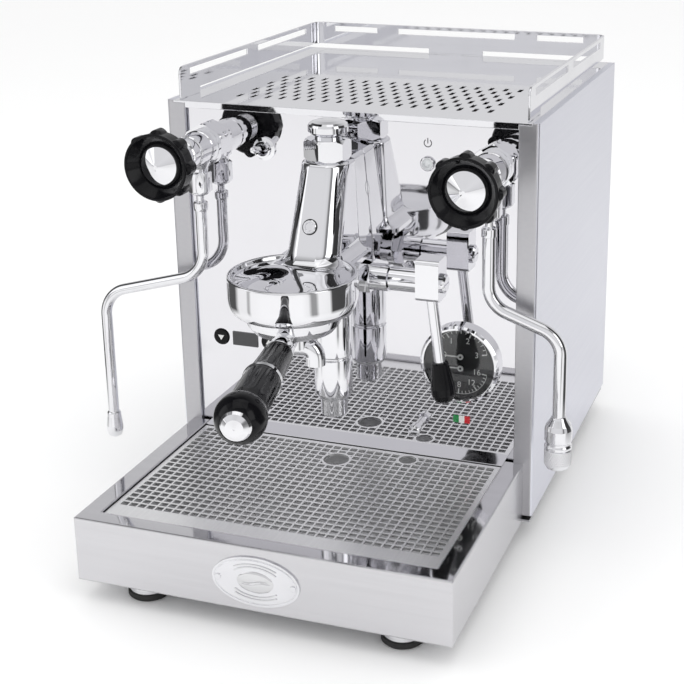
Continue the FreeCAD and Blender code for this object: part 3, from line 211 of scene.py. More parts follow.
def brushedSteel(name, stretch, light, dark, low, high, depth=0.00002, edge=0.0):
    material, tree, shader, where = startMaterial(name, 1.0, (low + high) / 2, light)
    grain = placeGroup(tree, grainGroup, where, low, high, Stretch=stretch)
    toneBetween(tree, shader, grain["Tone"], dark, light)
    feed(tree, grain["Roughness"], shader["Roughness"])
    bumpFrom(tree, shader, grain["Height"], 0.35, depth, edge)
    return material


def polishedMetal(name, light, dark, low, high, scratches, waveScale, waveDepth, edge=0.0):
    material, tree, shader, where = startMaterial(name, 1.0, low, light)
    marks = placeGroup(tree, marksGroup, where, low, high, Scratches=scratches)
    sheet = placeGroup(tree, waveGroup, where, Scale=waveScale)
    toneBetween(tree, shader, marks["Tone"], light, dark)
    feed(tree, marks["Roughness"], shader["Roughness"])
    scratchDepth = 0.000001
    height = mathNode(tree, "ADD", times(tree, sheet["Height"], waveDepth),
                      times(tree, marks["Height"], scratchDepth))
    bumpFrom(tree, shader, height, 1.0, 1.0, edge)
    return material


def mouldedPlastic(name, light, dark, low, high, skinScale, depth, coat=0.0, metallic=0.0, shine=0.5):
    material, tree, shader, where = startMaterial(name, metallic, (low + high) / 2, light)
    skin = placeGroup(tree, mouldGroup, where, low, high, Scale=skinScale)
    toneBetween(tree, shader, skin["Tone"], dark, light)
    feed(tree, skin["Roughness"], shader["Roughness"])
    bumpFrom(tree, shader, skin["Height"], 0.4, depth)
    shader["Specular IOR Level"].default_value = shine
    shader["Coat Weight"].default_value = coat
    shader["Coat Roughness"].default_value = 0.06
    return material


steels = {  # stretch of the grain, light and dark tone, roughness from and to, depth, rounding
    "sideSatin": ((900, 40, 1800), (0.745, 0.75, 0.81), (0.715, 0.72, 0.785), 0.30, 0.38, 0.000008, 0.0012),
    "panSheet": ((60, 700, 900), (0.80, 0.80, 0.80), (0.72, 0.72, 0.73), 0.25, 0.40),
    "plainSheet": ((80, 900, 1200), (0.60, 0.60, 0.62), (0.50, 0.50, 0.52), 0.28, 0.42),
    "grateSteel": ((2200, 60, 800), (0.985, 0.985, 0.985), (0.93, 0.93, 0.935), 0.30, 0.42),
}
polishes = {  # light and dark tone, roughness from and to, scratches, waves' scale and depth, rounding
    "mirrorSheet": ((0.755, 0.75, 0.775), (0.715, 0.71, 0.735), 0.02, 0.06, 0.4, 9.0, 0.00006),
    "polishedDeck": ((0.80, 0.80, 0.825), (0.72, 0.72, 0.745), 0.05, 0.12, 0.6, 12.0, 0.00008, 0.0008),
    "chromePlate": ((0.80, 0.80, 0.82), (0.74, 0.74, 0.76), 0.02, 0.06, 0.35, 60.0, 0.000012),
    "screwSteel": ((0.72, 0.72, 0.73), (0.60, 0.60, 0.62), 0.12, 0.25, 0.8, 90.0, 0.00001),
}
mouldings = {  # light and dark tone, roughness from and to, skin's scale and depth, coat, metallic, shine
    "blackBakelite": ((0.006, 0.006, 0.007), (0.003, 0.003, 0.004), 0.09, 0.15, 900.0, 0.000002, 0.0, 0.0,
                      0.16),
    "darkPlastic": ((0.02, 0.02, 0.022), (0.012, 0.012, 0.013), 0.35, 0.5, 1600.0, 0.00002),
    "rubberBlack": ((0.022, 0.022, 0.022), (0.012, 0.012, 0.012), 0.6, 0.8, 2200.0, 0.00003),
    "dialBlack": ((0.018, 0.018, 0.02), (0.012, 0.012, 0.014), 0.4, 0.55, 2400.0, 0.000006),
    "whitePaint": ((0.85, 0.85, 0.84), (0.78, 0.78, 0.77), 0.3, 0.4, 2400.0, 0.000005),
    "greyPrint": ((0.10, 0.10, 0.105), (0.07, 0.07, 0.075), 0.35, 0.5, 2400.0, 0.000005),
    "smokedWindow": ((0.012, 0.012, 0.016), (0.008, 0.008, 0.010), 0.05, 0.12, 500.0, 0.000004, 0.8),
    "copperPlain": ((0.72, 0.40, 0.26), (0.55, 0.28, 0.18), 0.25, 0.42, 300.0, 0.00003, 0.0, 1.0),
    "tankMoulding": ((0.70, 0.74, 0.77), (0.62, 0.66, 0.70), 0.35, 0.5, 400.0, 0.00003),
    "lampLens": ((0.75, 0.77, 0.78), (0.62, 0.64, 0.66), 0.06, 0.14, 500.0, 0.00001, 0.6),
}
finish = {}
for make, looks in ((brushedSteel, steels), (polishedMetal, polishes), (mouldedPlastic, mouldings)):
    for finishName, look in looks.items():
        finish[finishName] = make(finishName, *look)


def glassMaterial():
    material, tree, shader, where = startMaterial("gaugeGlass", 0.0, 0.02, (0.98, 0.99, 0.99))
    shader["Transmission Weight"].default_value = 1.0
    shader["IOR"].default_value = 1.45
    feed(tree, placeGroup(tree, marksGroup, where, 0.0, 0.03)["Roughness"], shader["Roughness"])
    return material


# three enamel bands side by side
bands = ((0.02, 0.26, 0.07, 1), (0.85, 0.85, 0.83, 1), (0.60, 0.02, 0.03, 1))


def bandMaterial():
    low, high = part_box("colour_strip")
    material, tree, shader, where = startMaterial("enamelBands", 0.0, 0.25, (0.8, 0.8, 0.8))
    ramp = addNode(tree, "ShaderNodeValToRGB")
    ramp.color_ramp.interpolation = "CONSTANT"
    ramp.color_ramp.elements.new(0.34)
    ramp.color_ramp.elements[2].position = 0.67
    for element, colour in zip(ramp.color_ramp.elements, bands):
        element.color = colour
    feed(tree, ranged(tree, splitOf(tree, where)["X"], low.x, high.x), ramp.inputs["Fac"])
    feed(tree, ramp.outputs["Color"], shader["Base Color"])
    skin = placeGroup(tree, mouldGroup, where, 0.12, 0.25, Scale=900.0)
    feed(tree, skin["Roughness"], shader["Roughness"])
    bumpFrom(tree, shader, skin["Height"], 0.3, 0.00001)
    shader["Coat Weight"].default_value = 0.5
    return material


# satin sides with a polished rim round the grate
def trayMaterial():
    material, tree, shader, where = startMaterial("traySteel", 1.0, 0.25, (0.80, 0.80, 0.81))
    grain = placeGroup(tree, grainGroup, where, 0.20, 0.27, Stretch=(40, 500, 2200))
    marks = placeGroup(tree, marksGroup, where, 0.05, 0.12, Scratches=0.6)
    toneBetween(tree, shader, grain["Tone"], (0.615, 0.61, 0.63), (0.645, 0.64, 0.66))
    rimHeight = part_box("tray_housing")[1].z
    polished = ranged(tree, splitOf(tree, where)["Z"], rimHeight - 0.0009, rimHeight - 0.0003)
    satin = mathNode(tree, "SUBTRACT", 1.0, polished)
    rough = mathNode(tree, "ADD", times(tree, grain["Roughness"], satin),
                     times(tree, marks["Roughness"], polished))
    feed(tree, rough, shader["Roughness"])
    bumpFrom(tree, shader, times(tree, grain["Height"], satin), 0.2, 0.00001, 0.0016)
    return material


# painted shade: darkens the base colour of the narrow faces that look to the front
def paintedShadeOnFrontFaces(material, tone):
    tree = material.node_tree
    base = tree.nodes["Principled BSDF"].inputs["Base Color"]
    facing = splitOf(tree, addNode(tree, "ShaderNodeTexCoord").outputs["Normal"])
    frontShadeMask = mathNode(tree, "LESS_THAN", facing["Y"], -0.9)
    feed(tree, mixOf(tree, frontShadeMask, base.links[0].from_socket, tone, "MULTIPLY"), base)


# painted shade on the faces of the side and rear panels that look to the front
paintedShadeOnFrontFaces(finish["sideSatin"], (0.70, 0.69, 0.66, 1))
finish["traySteel"] = trayMaterial()
finish["gaugeGlass"] = glassMaterial()
finish["enamelBands"] = bandMaterial()

wears = {
    "traySteel": ["tray_housing"],
    "sideSatin": ["side_left", "side_right", "rear_panel"],
    "plainSheet": ["base_plate", "shower_screen", "inner_brackets"],
    "panSheet": ["drip_pan"],
    "grateSteel": ["drip_grate"],
    "mirrorSheet": ["front_panel", "panel_ledge"],
    "polishedDeck": ["cup_deck", "tank_lid", "cup_rail", "badge"],
    "chromePlate": ["foot_collars", "group_body", "group_fittings", "exhaust_barrel", "brew_lever",
                    "filter_bowl", "filter_basket", "twin_spout", "handle_trim", "steam_valve",
                    "steam_spindle", "steam_ball", "steam_wand", "water_valve", "water_spindle", "water_ball",
                    "water_wand", "gauge_case", "toggle_bush", "toggle_bat", "adjust_screw"],
    "screwSteel": ["brew_pin", "rear_screws"],
    "blackBakelite": ["lever_grip", "handle", "steam_wheel", "water_wheel", "button_down", "button_up"],
    "darkPlastic": ["button_holder", "pump", "control_box", "mains_inlet"],
    "rubberBlack": ["foot_pads", "group_gasket"],
    "dialBlack": ["gauge_dial"],
    "whitePaint": ["needle_boiler", "needle_pump"],
    "smokedWindow": ["display_window"],
    "copperPlain": ["boiler", "pipes"],
    "tankMoulding": ["water_tank"],
    "lampLens": ["pilot_lamp"],
    "gaugeGlass": ["gauge_glass"],
    "enamelBands": ["colour_strip"],
}
for finishName, wearers in wears.items():
    for nodeName in wearers:
        mesh = nodes[nodeName].data
        mesh.materials.clear()
        mesh.materials.append(finish[finishName])
print("finishes placed on", len(nodes), "nodes")

# shape tools; a shell is a pair of points and faces
def newPiece(name, shell, finishName, body, sharp=35):
    mesh = bpy.data.meshes.new(name)
    mesh.from_pydata([tuple(point) for point in shell[0]], [], shell[1])
    return finishPiece(name, mesh, finishName, body, sharp)


def finishPiece(name, mesh, finishName, body, sharp=35):
    mesh.materials.clear()
    mesh.materials.append(finish[finishName])
    mesh.polygons.foreach_set("use_smooth", [True] * len(mesh.polygons))
    mesh.set_sharp_from_angle(angle=math.radians(sharp))
    mesh.update()
    piece = bpy.data.objects.new(name, mesh)
    bpy.context.scene.collection.objects.link(piece)
    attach(piece, body)
    return piece


# the same outline with each inner corner rounded, or less where the sides are short
def softCorners(profile, radius, steps=5):
    points = [Vector(point) for point in profile]
    smooth = [points[0]]
    for before, corner, after in zip(points, points[1:], points[2:]):
        toBefore, toAfter = before - corner, after - corner
        half = toBefore.angle(toAfter) / 2
        if abs(half - math.pi / 2) < 0.02:
            smooth.append(corner)
            continue
        reach = min(radius / math.tan(half), toBefore.length * 0.48, toAfter.length * 0.48)
        first = corner + toBefore.normalized() * reach
        last = corner + toAfter.normalized() * reach
        for step in range(steps + 1):
            t = step / steps
            smooth.append(first * (1 - t) ** 2 + corner * 2 * t * (1 - t) + last * t * t)
    smooth.append(points[-1])
    return smooth


# four-sided faces between two rows of points
def rowFaces(row, following, count):
    return [(row * count + step, row * count + (step + 1) % count, following * count + (step + 1) % count,
             following * count + step) for step in range(count)]


# form turned about an axis; profile holds (radius, height) in millimetres
# a profile that starts and ends on the axis is closed there, any other is closed on itself
def turnedMesh(profile, at, axis=(0, 0, 1), steps=128, swell=None):
    axis = Vector(axis).normalized()
    side = Vector((1, 0, 0)) if abs(axis.z) > 0.9 else axis.orthogonal().normalized()
    cross = axis.cross(side)
    centre = spot(*at)
    poles = profile[0][0] < 1e-6 and profile[-1][0] < 1e-6
    inner = profile[1:-1] if poles else profile
    points = []
    for index, (radius, height) in enumerate(inner):
        for step in range(steps):
            angle = 2 * math.pi * step / steps
            reach = radius + (swell(angle, index) if swell else 0)
            points.append(centre + (side * math.cos(angle) * reach + cross * math.sin(angle) * reach
                                    + axis * height) / 1000)
    faces = []
    rows = len(inner)
    for row in range(rows - 1 if poles else rows):
        faces += rowFaces(row, (row + 1) % rows, steps)
    if poles:
        for row, (radius, height) in ((0, profile[0]), (rows - 1, profile[-1])):
            points.append(centre + axis * height / 1000)
            for step in range(steps):
                corners = (len(points) - 1, row * steps + (step + 1) % steps, row * steps + step)
                faces.append(corners if row == 0 else corners[::-1])
    return points, faces


# shell through a stack of rings of the same count, closed at both ends
def stackedMesh(rings):
    count = len(rings[0])
    points = [point for ring in rings for point in ring]
    faces = []
    for row in range(len(rings) - 1):
        faces += rowFaces(row, row + 1, count)
    faces.append(tuple(range(count))[::-1])
    faces.append(tuple(range(len(points) - count, len(points))))
    return points, faces


# angles in radians from one angle to another, both in degrees
def fan(first, last, steps):
    return [math.radians(first + (last - first) * step / steps) for step in range(steps + 1)]


# (radius, angle) pairs along an arc at one radius and back at another
def thereAndBack(there, back, angles):
    return [(there, angle) for angle in angles] + [(back, angle) for angle in angles[::-1]]


# ring at one height, flat in front and behind with rounded corners
def roundedRing(half, front, rear, frontRadius, rearRadius, z, steps=10):
    ring = []
    corners = ((half - frontRadius, front + frontRadius, frontRadius, -90),
               (half - rearRadius, rear - rearRadius, rearRadius, 0),
               (-half + rearRadius, rear - rearRadius, rearRadius, 90),
               (-half + frontRadius, front + frontRadius, frontRadius, 180))
    for x, y, radius, start in corners:
        for angle in fan(start, start + 90, steps):
            ring.append(spot(x + radius * math.cos(angle), y + radius * math.sin(angle), z))
    return ring


def gathered(shells):
    points, faces = [], []
    for morePoints, moreFaces in shells:
        start = len(points)
        points += list(morePoints)
        faces += [tuple(index + start for index in face) for face in moreFaces]
    return points, faces


# one closed mesh from overlapping closed shells
def unitedMesh(name, shells):
    pieces = []
    for index, (points, faces) in enumerate(shells):
        mesh = bpy.data.meshes.new(name + str(index))
        mesh.from_pydata([tuple(point * 1000) for point in points], [], faces)
        piece = bpy.data.objects.new(name + str(index), mesh)
        bpy.context.scene.collection.objects.link(piece)
        pieces.append(piece)
    base = pieces[0]
    for piece in pieces[1:]:
        union = base.modifiers.new("union", "BOOLEAN")
        union.operation = "UNION"
        union.solver = "EXACT"
        union.object = piece
    bpy.context.view_layer.update()
    graph = bpy.context.evaluated_depsgraph_get()
    mesh = bpy.data.meshes.new_from_object(base.evaluated_get(graph))
    mesh.transform(Matrix.Scale(0.001, 4))
    mesh.name = name
    for piece in pieces:
        bpy.data.objects.remove(piece)
    return mesh


# the brewing group, cast in one piece
group = {"bellY": -99, "valveY": -33, "bellRadius": 43.8, "bellLow": 203.4, "bellTop": 229, "dishDepth": 3.0,
         "dome": 1.7, "neckHalfLow": 19.6, "neckHalfTop": 17.2, "neckFrontLow": -80.4, "neckFrontTop": -52.0,
         "neckTop": 292, "neckRear": 9, "flatCut": 1.4, "flare": 9.0, "webHalfTop": 12.5, "webHalfLow": 18.5,
         "tuck": 2.4, "bowHigh": 12.0, "bowOut": 5.6}


def bellShell():
    low, top, wide = group["bellLow"], group["bellTop"], group["bellRadius"]
    out, high = group["bowOut"], group["bowHigh"]
    outline = [(37.6, 219.0), (37.6, low + 0.3), (37.8, low), (wide - out, low)]
    for step in range(1, 13):
        angle = math.pi / 2 * step / 12
        outline.append((wide - out * (1 - math.sin(angle)), low + high * (1 - math.cos(angle))))
    floor = top - group["dishDepth"]
    rim = [(wide, top - 4), (wide, top), (wide - 3.0, top), (wide - 4.4, floor), (wide - 12, floor + 0.3)]
    outline += softCorners(rim, 1.3, 6)
    # the floor of the dish rises a little to its middle
    for share in (0.9, 0.8, 0.7, 0.6, 0.5, 0.4, 0.3, 0.2, 0.1):
        outline.append(((wide - 12) * share, floor + 0.3 + group["dome"] * (1 - share ** 2)))
    return turnedMesh([(0, 219.0)] + [tuple(p) for p in outline] + [(0, floor + 0.3 + group["dome"])],
                      (0, group["bellY"], 0), steps=160)


def neckRing(half, front, rear, z, steps=64):
    ring = []
    deep = 17.0 + group["flatCut"]  # a round front with a narrow flat down its middle
    for step in range(steps + 1):
        angle = math.pi + math.pi * step / steps
        y = front - group["flatCut"] + deep - deep * abs(math.sin(angle))
        ring.append(spot(math.cos(angle) * half, max(y, front), z))
    radius = group["neckRear"]
    for x, start in ((half - radius, 0), (-half + radius, 90)):
        for angle in fan(start, start + 90, 12):
            ring.append(spot(x + radius * math.cos(angle), rear - radius + radius * math.sin(angle), z))
    return ring


def neckShell():
    plane, flare, top = group["bellTop"] - group["dishDepth"], group["flare"], group["neckTop"]
    rings = []
    heights = [plane - 3] + [plane + flare * (1 - math.cos(math.pi / 2 * step / 10)) for step in range(11)]
    heights += [plane + flare + 2.7 + 2.7 * step for step in range(19)]
    heights += [top - tuckAt for tuckAt in (2.4, 1.9, 1.4, 0.9, 0.5, 0.2, 0.0)]
    for z in heights:
        t = (z - 223) / (top - 223)
        half = group["neckHalfLow"] + (group["neckHalfTop"] - group["neckHalfLow"]) * t
        front = group["neckFrontLow"] + (group["neckFrontTop"] - group["neckFrontLow"]) * t
        above = max(z - plane, 0.0)
        spread = flare - math.sqrt(flare ** 2 - (flare - above) ** 2) if above < flare else 0.0
        fromTop, tuckMost = top - z, group["tuck"]
        tuck = 0.0
        if fromTop < tuckMost:
            tuck = tuckMost - math.sqrt(max(tuckMost ** 2 - (tuckMost - fromTop) ** 2, 0))
        rings.append(neckRing(half + spread - tuck, front - spread + tuck, -19 - tuck, z))
    return stackedMesh(rings)


def webShell():
    rings = []
    for z in (196, 197, 200, 210, 220, 232, 250, 270, 288, 290.6, 291.6):
        t = max(0.0, (z - 220) / 72)
        half = group["webHalfLow"] + (group["webHalfTop"] - group["webHalfLow"]) * t
        tuck = {196: 2.2, 197: 0.9, 290.6: 0.6, 291.6: 1.6}.get(z, 0)
        rings.append(roundedRing(half - tuck, -36 + tuck, 3.0, 4, 1.2, z, 6))
    return stackedMesh(rings)


def throatShell():
    rings = []
    for z, tuck in ((200, 2.5), (200.8, 1.0), (203, 0), (212, 0), (224, 0)):
        rings.append(roundedRing(19.5 - tuck, -72 + tuck, -30, 6, 6, z, 6))
    return stackedMesh(rings)


column = turnedMesh([(0, 178.2), (13.2, 178.2), (13.9, 179.0), (17.3, 199.0), (17.5, 202.0), (17.5, 288.0),
                     (0, 288.0)], (0, group["valveY"], 0), steps=96)
armRim = [tuple(p) for p in softCorners([(12, 1), (12, 24.0), (6, 24.0)], 0.8, 4)]
arm = turnedMesh([(0, 0), (12, 0)] + armRim + [(0, 24.0)], (0, group["valveY"], 209), (1, 0, 0), steps=96)
boss = turnedMesh([(0, 0), (16, 0), (16, 13.8), (0, 13.8)], (0, 3.0, 262), (0, 1, 0), steps=96)
groupShells = [bellShell(), neckShell(), throatShell(), column, webShell(), arm, boss]
groupMesh = unitedMesh("groupCasting", groupShells)
groupCasting = finishPiece("groupCasting", groupMesh, "chromePlate", "machine", 32)
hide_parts("group_body")
jet = {"at": (0, -68.3, 252), "lean": 22.4, "radius": 4.9, "sealOut": 0.7}
jetWay = (0, -math.cos(math.radians(jet["lean"])), math.sin(math.radians(jet["lean"])))
plugRadius = jet["radius"]
sealRadius = plugRadius + jet["sealOut"]
plug = turnedMesh([(0, -1.0), (plugRadius, -1.0), (plugRadius, 1.3), (plugRadius - 0.5, 1.7), (3.1, 1.7),
                   (2.7, 1.1), (0, 1.1)], jet["at"], jetWay, 64)
newPiece("jetPlug", plug, "chromePlate", "machine", 30)
seal = turnedMesh([(0, -1.0), (sealRadius, -1.0), (sealRadius, 0.18), (0, 0.18)], jet["at"], jetWay, 64)
newPiece("jetSeal", seal, "darkPlastic", "machine", 30)
print("group casting", len(groupMesh.vertices), "points")


# hand wheels
wheel = {"lugs": 8, "lugOut": 2.7, "radius": 24.0, "faceAhead": 78.0, "dishDeep": 9.0, "dishRadius": 21.8,
         "thick": 15.0, "x": 111.5, "z": 287}


def handWheel(name, node, body, side):
    deep, radius, dish = wheel["thick"], wheel["radius"], wheel["dishDeep"]
    rim = [(4.0, dish), (15.2, dish), (wheel["dishRadius"], 0.9), (22.3, 0.0), (23.5, 0.0), (radius, 0.9),
           (radius, 2.2), (radius - 0.5, 3.0), (radius - 0.5, 4.5), (radius - 0.5, 6.0), (radius - 0.5, 13.0),
           (radius - 2.2, deep), (10, deep), (4.0, deep)]
    profile = [tuple(p) for p in softCorners(rim, 1.0, 4)]
    inLug = []
    for r, depth in profile:
        ends = min(max((depth - 2.6) / 2.0, 0), 1) * min(max((deep + 0.2 - depth) / 2.6, 0), 1)
        inLug.append(ends if r > 20 else 0.0)

    def swell(angle, index):
        wave = max(math.cos(wheel["lugs"] * angle), 0.0)
        return wheel["lugOut"] * inLug[index] * wave ** 0.8

    profile = [(r, -depth) for r, depth in profile]
    at = (side * wheel["x"], -wheel["faceAhead"], wheel["z"])
    points, faces = turnedMesh(profile, at, (0, -1, 0), 256, swell)
    turned = (points, [face[::-1] for face in faces])
    piece = newPiece(name, turned, "blackBakelite", body, 40)
    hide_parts(node)


handWheel("steamHandWheel", "steam_wheel", "steam_knob", -1)
handWheel("waterHandWheel", "water_wheel", "water_knob", 1)
print("hand wheels done")


# portafilter handle: fluted neck and grip with a round knob
grip = {"turn": 12.0, "height": 190.5, "flutes": 8, "fluteDeep": 0.55, "neckFrom": 51.0, "neckTo": 92.9,
        "gripFrom": 97.1, "knobAt": 148.5, "knobRadius": 15.6}
turnBy = math.radians(grip["turn"])
aheadWay = (math.sin(turnBy), -math.cos(turnBy), 0)
neckOutline = softCorners([(4, grip["neckFrom"]), (9.7, grip["neckFrom"]), (10.2, 70),
                           (11.2, grip["neckTo"] - 3), (11.0, grip["neckTo"]), (4, grip["neckTo"])], 1.2, 5)
gripOutline = [Vector((4, grip["gripFrom"]))]
gripOutline += softCorners([(10.6, grip["gripFrom"]), (11.9, grip["gripFrom"] + 0.1), (12.2, 112),
                            (12.3, 131)], 1.0, 5)
gripOutline += [Vector((12.1, 134.5)), Vector((11.7, 137.0)), Vector((11.75, 138.4))]
for step in range(1, 25):
    angle = math.radians(-41 + (41 + 51.2) * step / 24)
    gripOutline.append(Vector((grip["knobRadius"] * math.cos(angle),
                               grip["knobAt"] + grip["knobRadius"] * math.sin(angle))))
gripOutline.append(Vector((4, gripOutline[-1].y)))


def handleShell(outline, fluteFrom, fluteTo):
    dense = []
    for first, second in zip(outline, outline[1:]):
        pieces = max(1, int((second - first).length / 2.0))
        dense += [first.lerp(second, step / pieces) for step in range(pieces)]
    dense.append(outline[-1])

    def swell(angle, index):
        radius, along = dense[index]
        if radius < 9:
            return 0.0
        ends = min(max((along - fluteFrom) / 5, 0), 1) * min(max((fluteTo - along) / 5, 0), 1)
        ends = ends * ends * (3 - 2 * ends)
        return -grip["fluteDeep"] * ends * max(math.cos(grip["flutes"] * angle), -0.2) ** 2
    return turnedMesh([tuple(p) for p in dense], (0, -99, grip["height"]), aheadWay, 240, swell)


handleShells = gathered([handleShell(neckOutline, 51, 91), handleShell(gripOutline, 98, 134)])
handlePiece = newPiece("flutedHandle", handleShells, "blackBakelite", "portafilter", 40)
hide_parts("handle")
print("handle done")


# valves, wands, exhaust and filter bowl have clean turned surfaces
# this is a hexagon nut with turned-off corners, lying along an axis
def hexShell(at, axis, across, high, bevel=1.2):
    axis = Vector(axis).normalized()
    side = Vector((1, 0, 0)) if abs(axis.x) < 0.9 else Vector((0, 1, 0))
    cross = axis.cross(side)
    centre = spot(*at)
    corner = across / math.sqrt(3)
    steps = 72
    rings = []
    for height, most in ((0, corner - bevel), (bevel * 0.6, corner), (high - bevel * 0.6, corner),
                         (high, corner - bevel)):
        ring = []
        for step in range(steps):
            angle = 2 * math.pi * step / steps
            fromFlat = (angle + math.pi / 6) % (math.pi / 3) - math.pi / 6
            reach = min(across / 2 / math.cos(fromFlat), most, corner - 0.25)
            ring.append(centre + (side * math.cos(angle) * reach + cross * math.sin(angle) * reach
                                  + axis * height) / 1000)
        rings.append(ring)
    return stackedMesh(rings)


# round bar along straight runs joined by round bends; path in millimetres
def sweptShell(path, radius, bend, around=40, arcSteps=18):
    spots = [Vector(p) for p in path]
    centres = [(spots[0], (spots[1] - spots[0]).normalized())]
    for before, corner, after in zip(spots, spots[1:], spots[2:]):
        into, out = (corner - before).normalized(), (after - corner).normalized()
        turn = into.angle(out)
        reach = bend * math.tan(turn / 2)
        first = corner - into * reach
        pole = (out - into * into.dot(out)).normalized()
        middleOfBend = first + pole * bend
        for step in range(arcSteps + 1):
            angle = turn * step / arcSteps
            centres.append((middleOfBend + (into * math.sin(angle) - pole * math.cos(angle)) * bend,
                            into * math.cos(angle) + pole * math.sin(angle)))
    centres.append((spots[-1], (spots[-1] - spots[-2]).normalized()))
    flat = Vector((0, 1, 0))
    rings = []
    for centre, way in centres:
        other = way.cross(flat).normalized()
        ring = []
        for step in range(around):
            angle = 2 * math.pi * step / around
            ring.append(spot(*(centre + (flat * math.cos(angle) + other * math.sin(angle)) * radius)))
        rings.append(ring)
    return stackedMesh(rings)


def turnedShell(profile, at, axis=(0, 0, 1), soft=0.5, steps=96):
    return turnedMesh([tuple(p) for p in softCorners(profile, soft, 4)], at, axis, steps)


valve = {"x": 111.5, "z": 287, "branchY": -14, "nutAcross": 30, "front": 62, "threadPitch": 1.5}


def valvePiece(name, node, side):
    x, z = side * valve["x"], valve["z"]
    outline = [(0, 0.0), (11.2, 0.0), (11.2, 8.0), (13.2, 9.2), (13.2, 17.0), (12.4, 18.0), (12.4, 32.0),
               (11.3, 32.8), (11.3, 34.2), (12.0, 35.0), (12.0, 43.0), (11.0, 44.0), (11.0, 52.0)]
    at = 52.6
    while at < valve["front"] + 1.2:
        outline += [(10.6, at), (9.7, at + valve["threadPitch"] / 2)]
        at += valve["threadPitch"]
    outline += [(10.2, valve["front"] + 2.4), (8.8, valve["front"] + 3.0), (0, valve["front"] + 3.0)]
    seat, branch = (x, 3.0, z), (x, valve["branchY"], 0)
    shells = [turnedShell(outline, seat, (0, -1, 0), 0.35),
              hexShell(seat, (0, -1, 0), valve["nutAcross"], 9),
              turnedShell([(0, 266), (6.9, 266), (6.9, 272.5), (8.6, 276.0), (10.4, 281), (0, 281)], branch,
                          soft=1.5),
              hexShell((x, valve["branchY"], 254.6), (0, 0, 1), 16.4, 15.4, 1.4),
              turnedShell([(0, 252.8), (6.2, 252.8), (7.4, 254.0), (7.4, 256.0), (0, 256.0)], branch,
                          soft=0.3),
              turnedShell([(0, 0), (7.9, 0), (7.9, 17.9), (0, 17.9)], seat, (0, 1, 0), 0.2)]
    piece = newPiece(name, gathered(shells), "chromePlate", "machine", 30)
    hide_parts(node)


valvePiece("steamValveBody", "steam_valve", -1)
valvePiece("waterValveBody", "water_valve", 1)


wands = {
    "steamPipe": {"node": "steam_wand", "side": -1, "radius": 4.2, "bend": 24.0, "out": 87.0, "runEnd": 176.0,
                  "pipeLow": 65.0,
                  "tip": [(0, 66.5), (4.4, 66.5), (5.3, 65.0), (5.5, 62.0), (6.5, 54.0), (6.5, 50.5),
                          (5.2, 46.2), (1.9, 44.0), (0, 44.0)]},
    "waterPipe": {"node": "water_wand", "side": 1, "radius": 4.7, "bend": 20.0, "out": 53.0, "runEnd": 181.0,
                  "pipeLow": 110.0,
                  "tip": [(0, 112), (5.0, 112), (6.0, 110), (9.0, 105.5), (10.0, 102), (10.0, 93.5),
                          (9.2, 92.2), (9.2, 90.6), (10.0, 89.5), (10.0, 87.6), (9.3, 86.8), (9.3, 74.4),
                          (8.2, 72), (0, 72)]},
}
for name, wand in wands.items():
    x, y, radius = wand["side"] * valve["x"], valve["branchY"], wand["radius"]
    farX = x + wand["side"] * wand["out"]
    path = [(x, y, 246), (x, y, 190), (farX, y, wand["runEnd"] - 10), (farX, y, wand["pipeLow"] - 1)]
    shells = [sweptShell(path, radius, wand["bend"]),
              turnedShell([(0, 240), (radius + 0.7, 240), (5.4, 242.0), (5.4, 246.0), (4.4, 247.0),
                           (0, 247.0)], (x, y, 0), soft=0.4),
              turnedShell([(0, 246), (2.8, 246), (2.8, 260), (0, 260)], (x, y, 0), soft=0.1, steps=48),
              turnedShell(wand["tip"], (farX, y, 0), soft=1.2)]
    piece = newPiece(name, gathered(shells), "chromePlate", wand["node"], 40)
    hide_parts(wand["node"])

exhaust = turnedShell([(0, 178), (13.9, 178), (13.9, 147.2), (12.9, 146.8), (12.9, 145.2), (13.9, 144.8),
                       (13.9, 117.5), (12.2, 114.4), (9.9, 114.0), (9.9, 101.2), (8.6, 99.4), (5.2, 99.4),
                       (5.0, 104), (0, 104)], (0, group["valveY"], 0), soft=0.8, steps=128)
exhaustTube = newPiece("exhaustTube", exhaust, "chromePlate", "machine", 40)
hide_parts("exhaust_barrel")

bowl = {"radius": 33.2, "low": 184.0, "socketFrom": 24.0, "socketTo": 51.0, "y": -99, "lugOut": 36.8,
        "lugIn": 32.0, "lugLow": 210.6, "lugTop": 214.0}
shells = [turnedShell([(0, bowl["low"]), (11.0, bowl["low"]), (11.6, 186.6), (21.0, 187.2), (27.5, 190.0),
                       (31.4, 195.0), (bowl["radius"], 202.0), (bowl["radius"], 214.2), (30.2, 214.2),
                       (30.2, 200), (0, 199.6)], (0, bowl["y"], 0), soft=1.6, steps=160),
          turnedShell([(0, bowl["socketFrom"]), (7.6, bowl["socketFrom"]), (7.9, 38.0), (8.9, 42.0),
                       (9.2, 49.6), (8.4, bowl["socketTo"]), (0, bowl["socketTo"])],
                      (0, bowl["y"], grip["height"]), aheadWay, 0.8)]
for turn in (0, 180):
    edge = thereAndBack(bowl["lugOut"], bowl["lugIn"], fan(turn - 8, turn + 32, 20))
    shells.append(stackedMesh([[spot(reach * math.cos(angle), bowl["y"] + reach * math.sin(angle), z)
                                for reach, angle in edge] for z in (bowl["lugLow"], bowl["lugTop"])]))
bowlPiece = newPiece("filterHolder", gathered(shells), "chromePlate", "portafilter", 40)
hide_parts("filter_bowl")
print("valves, wands, exhaust and filter holder done")


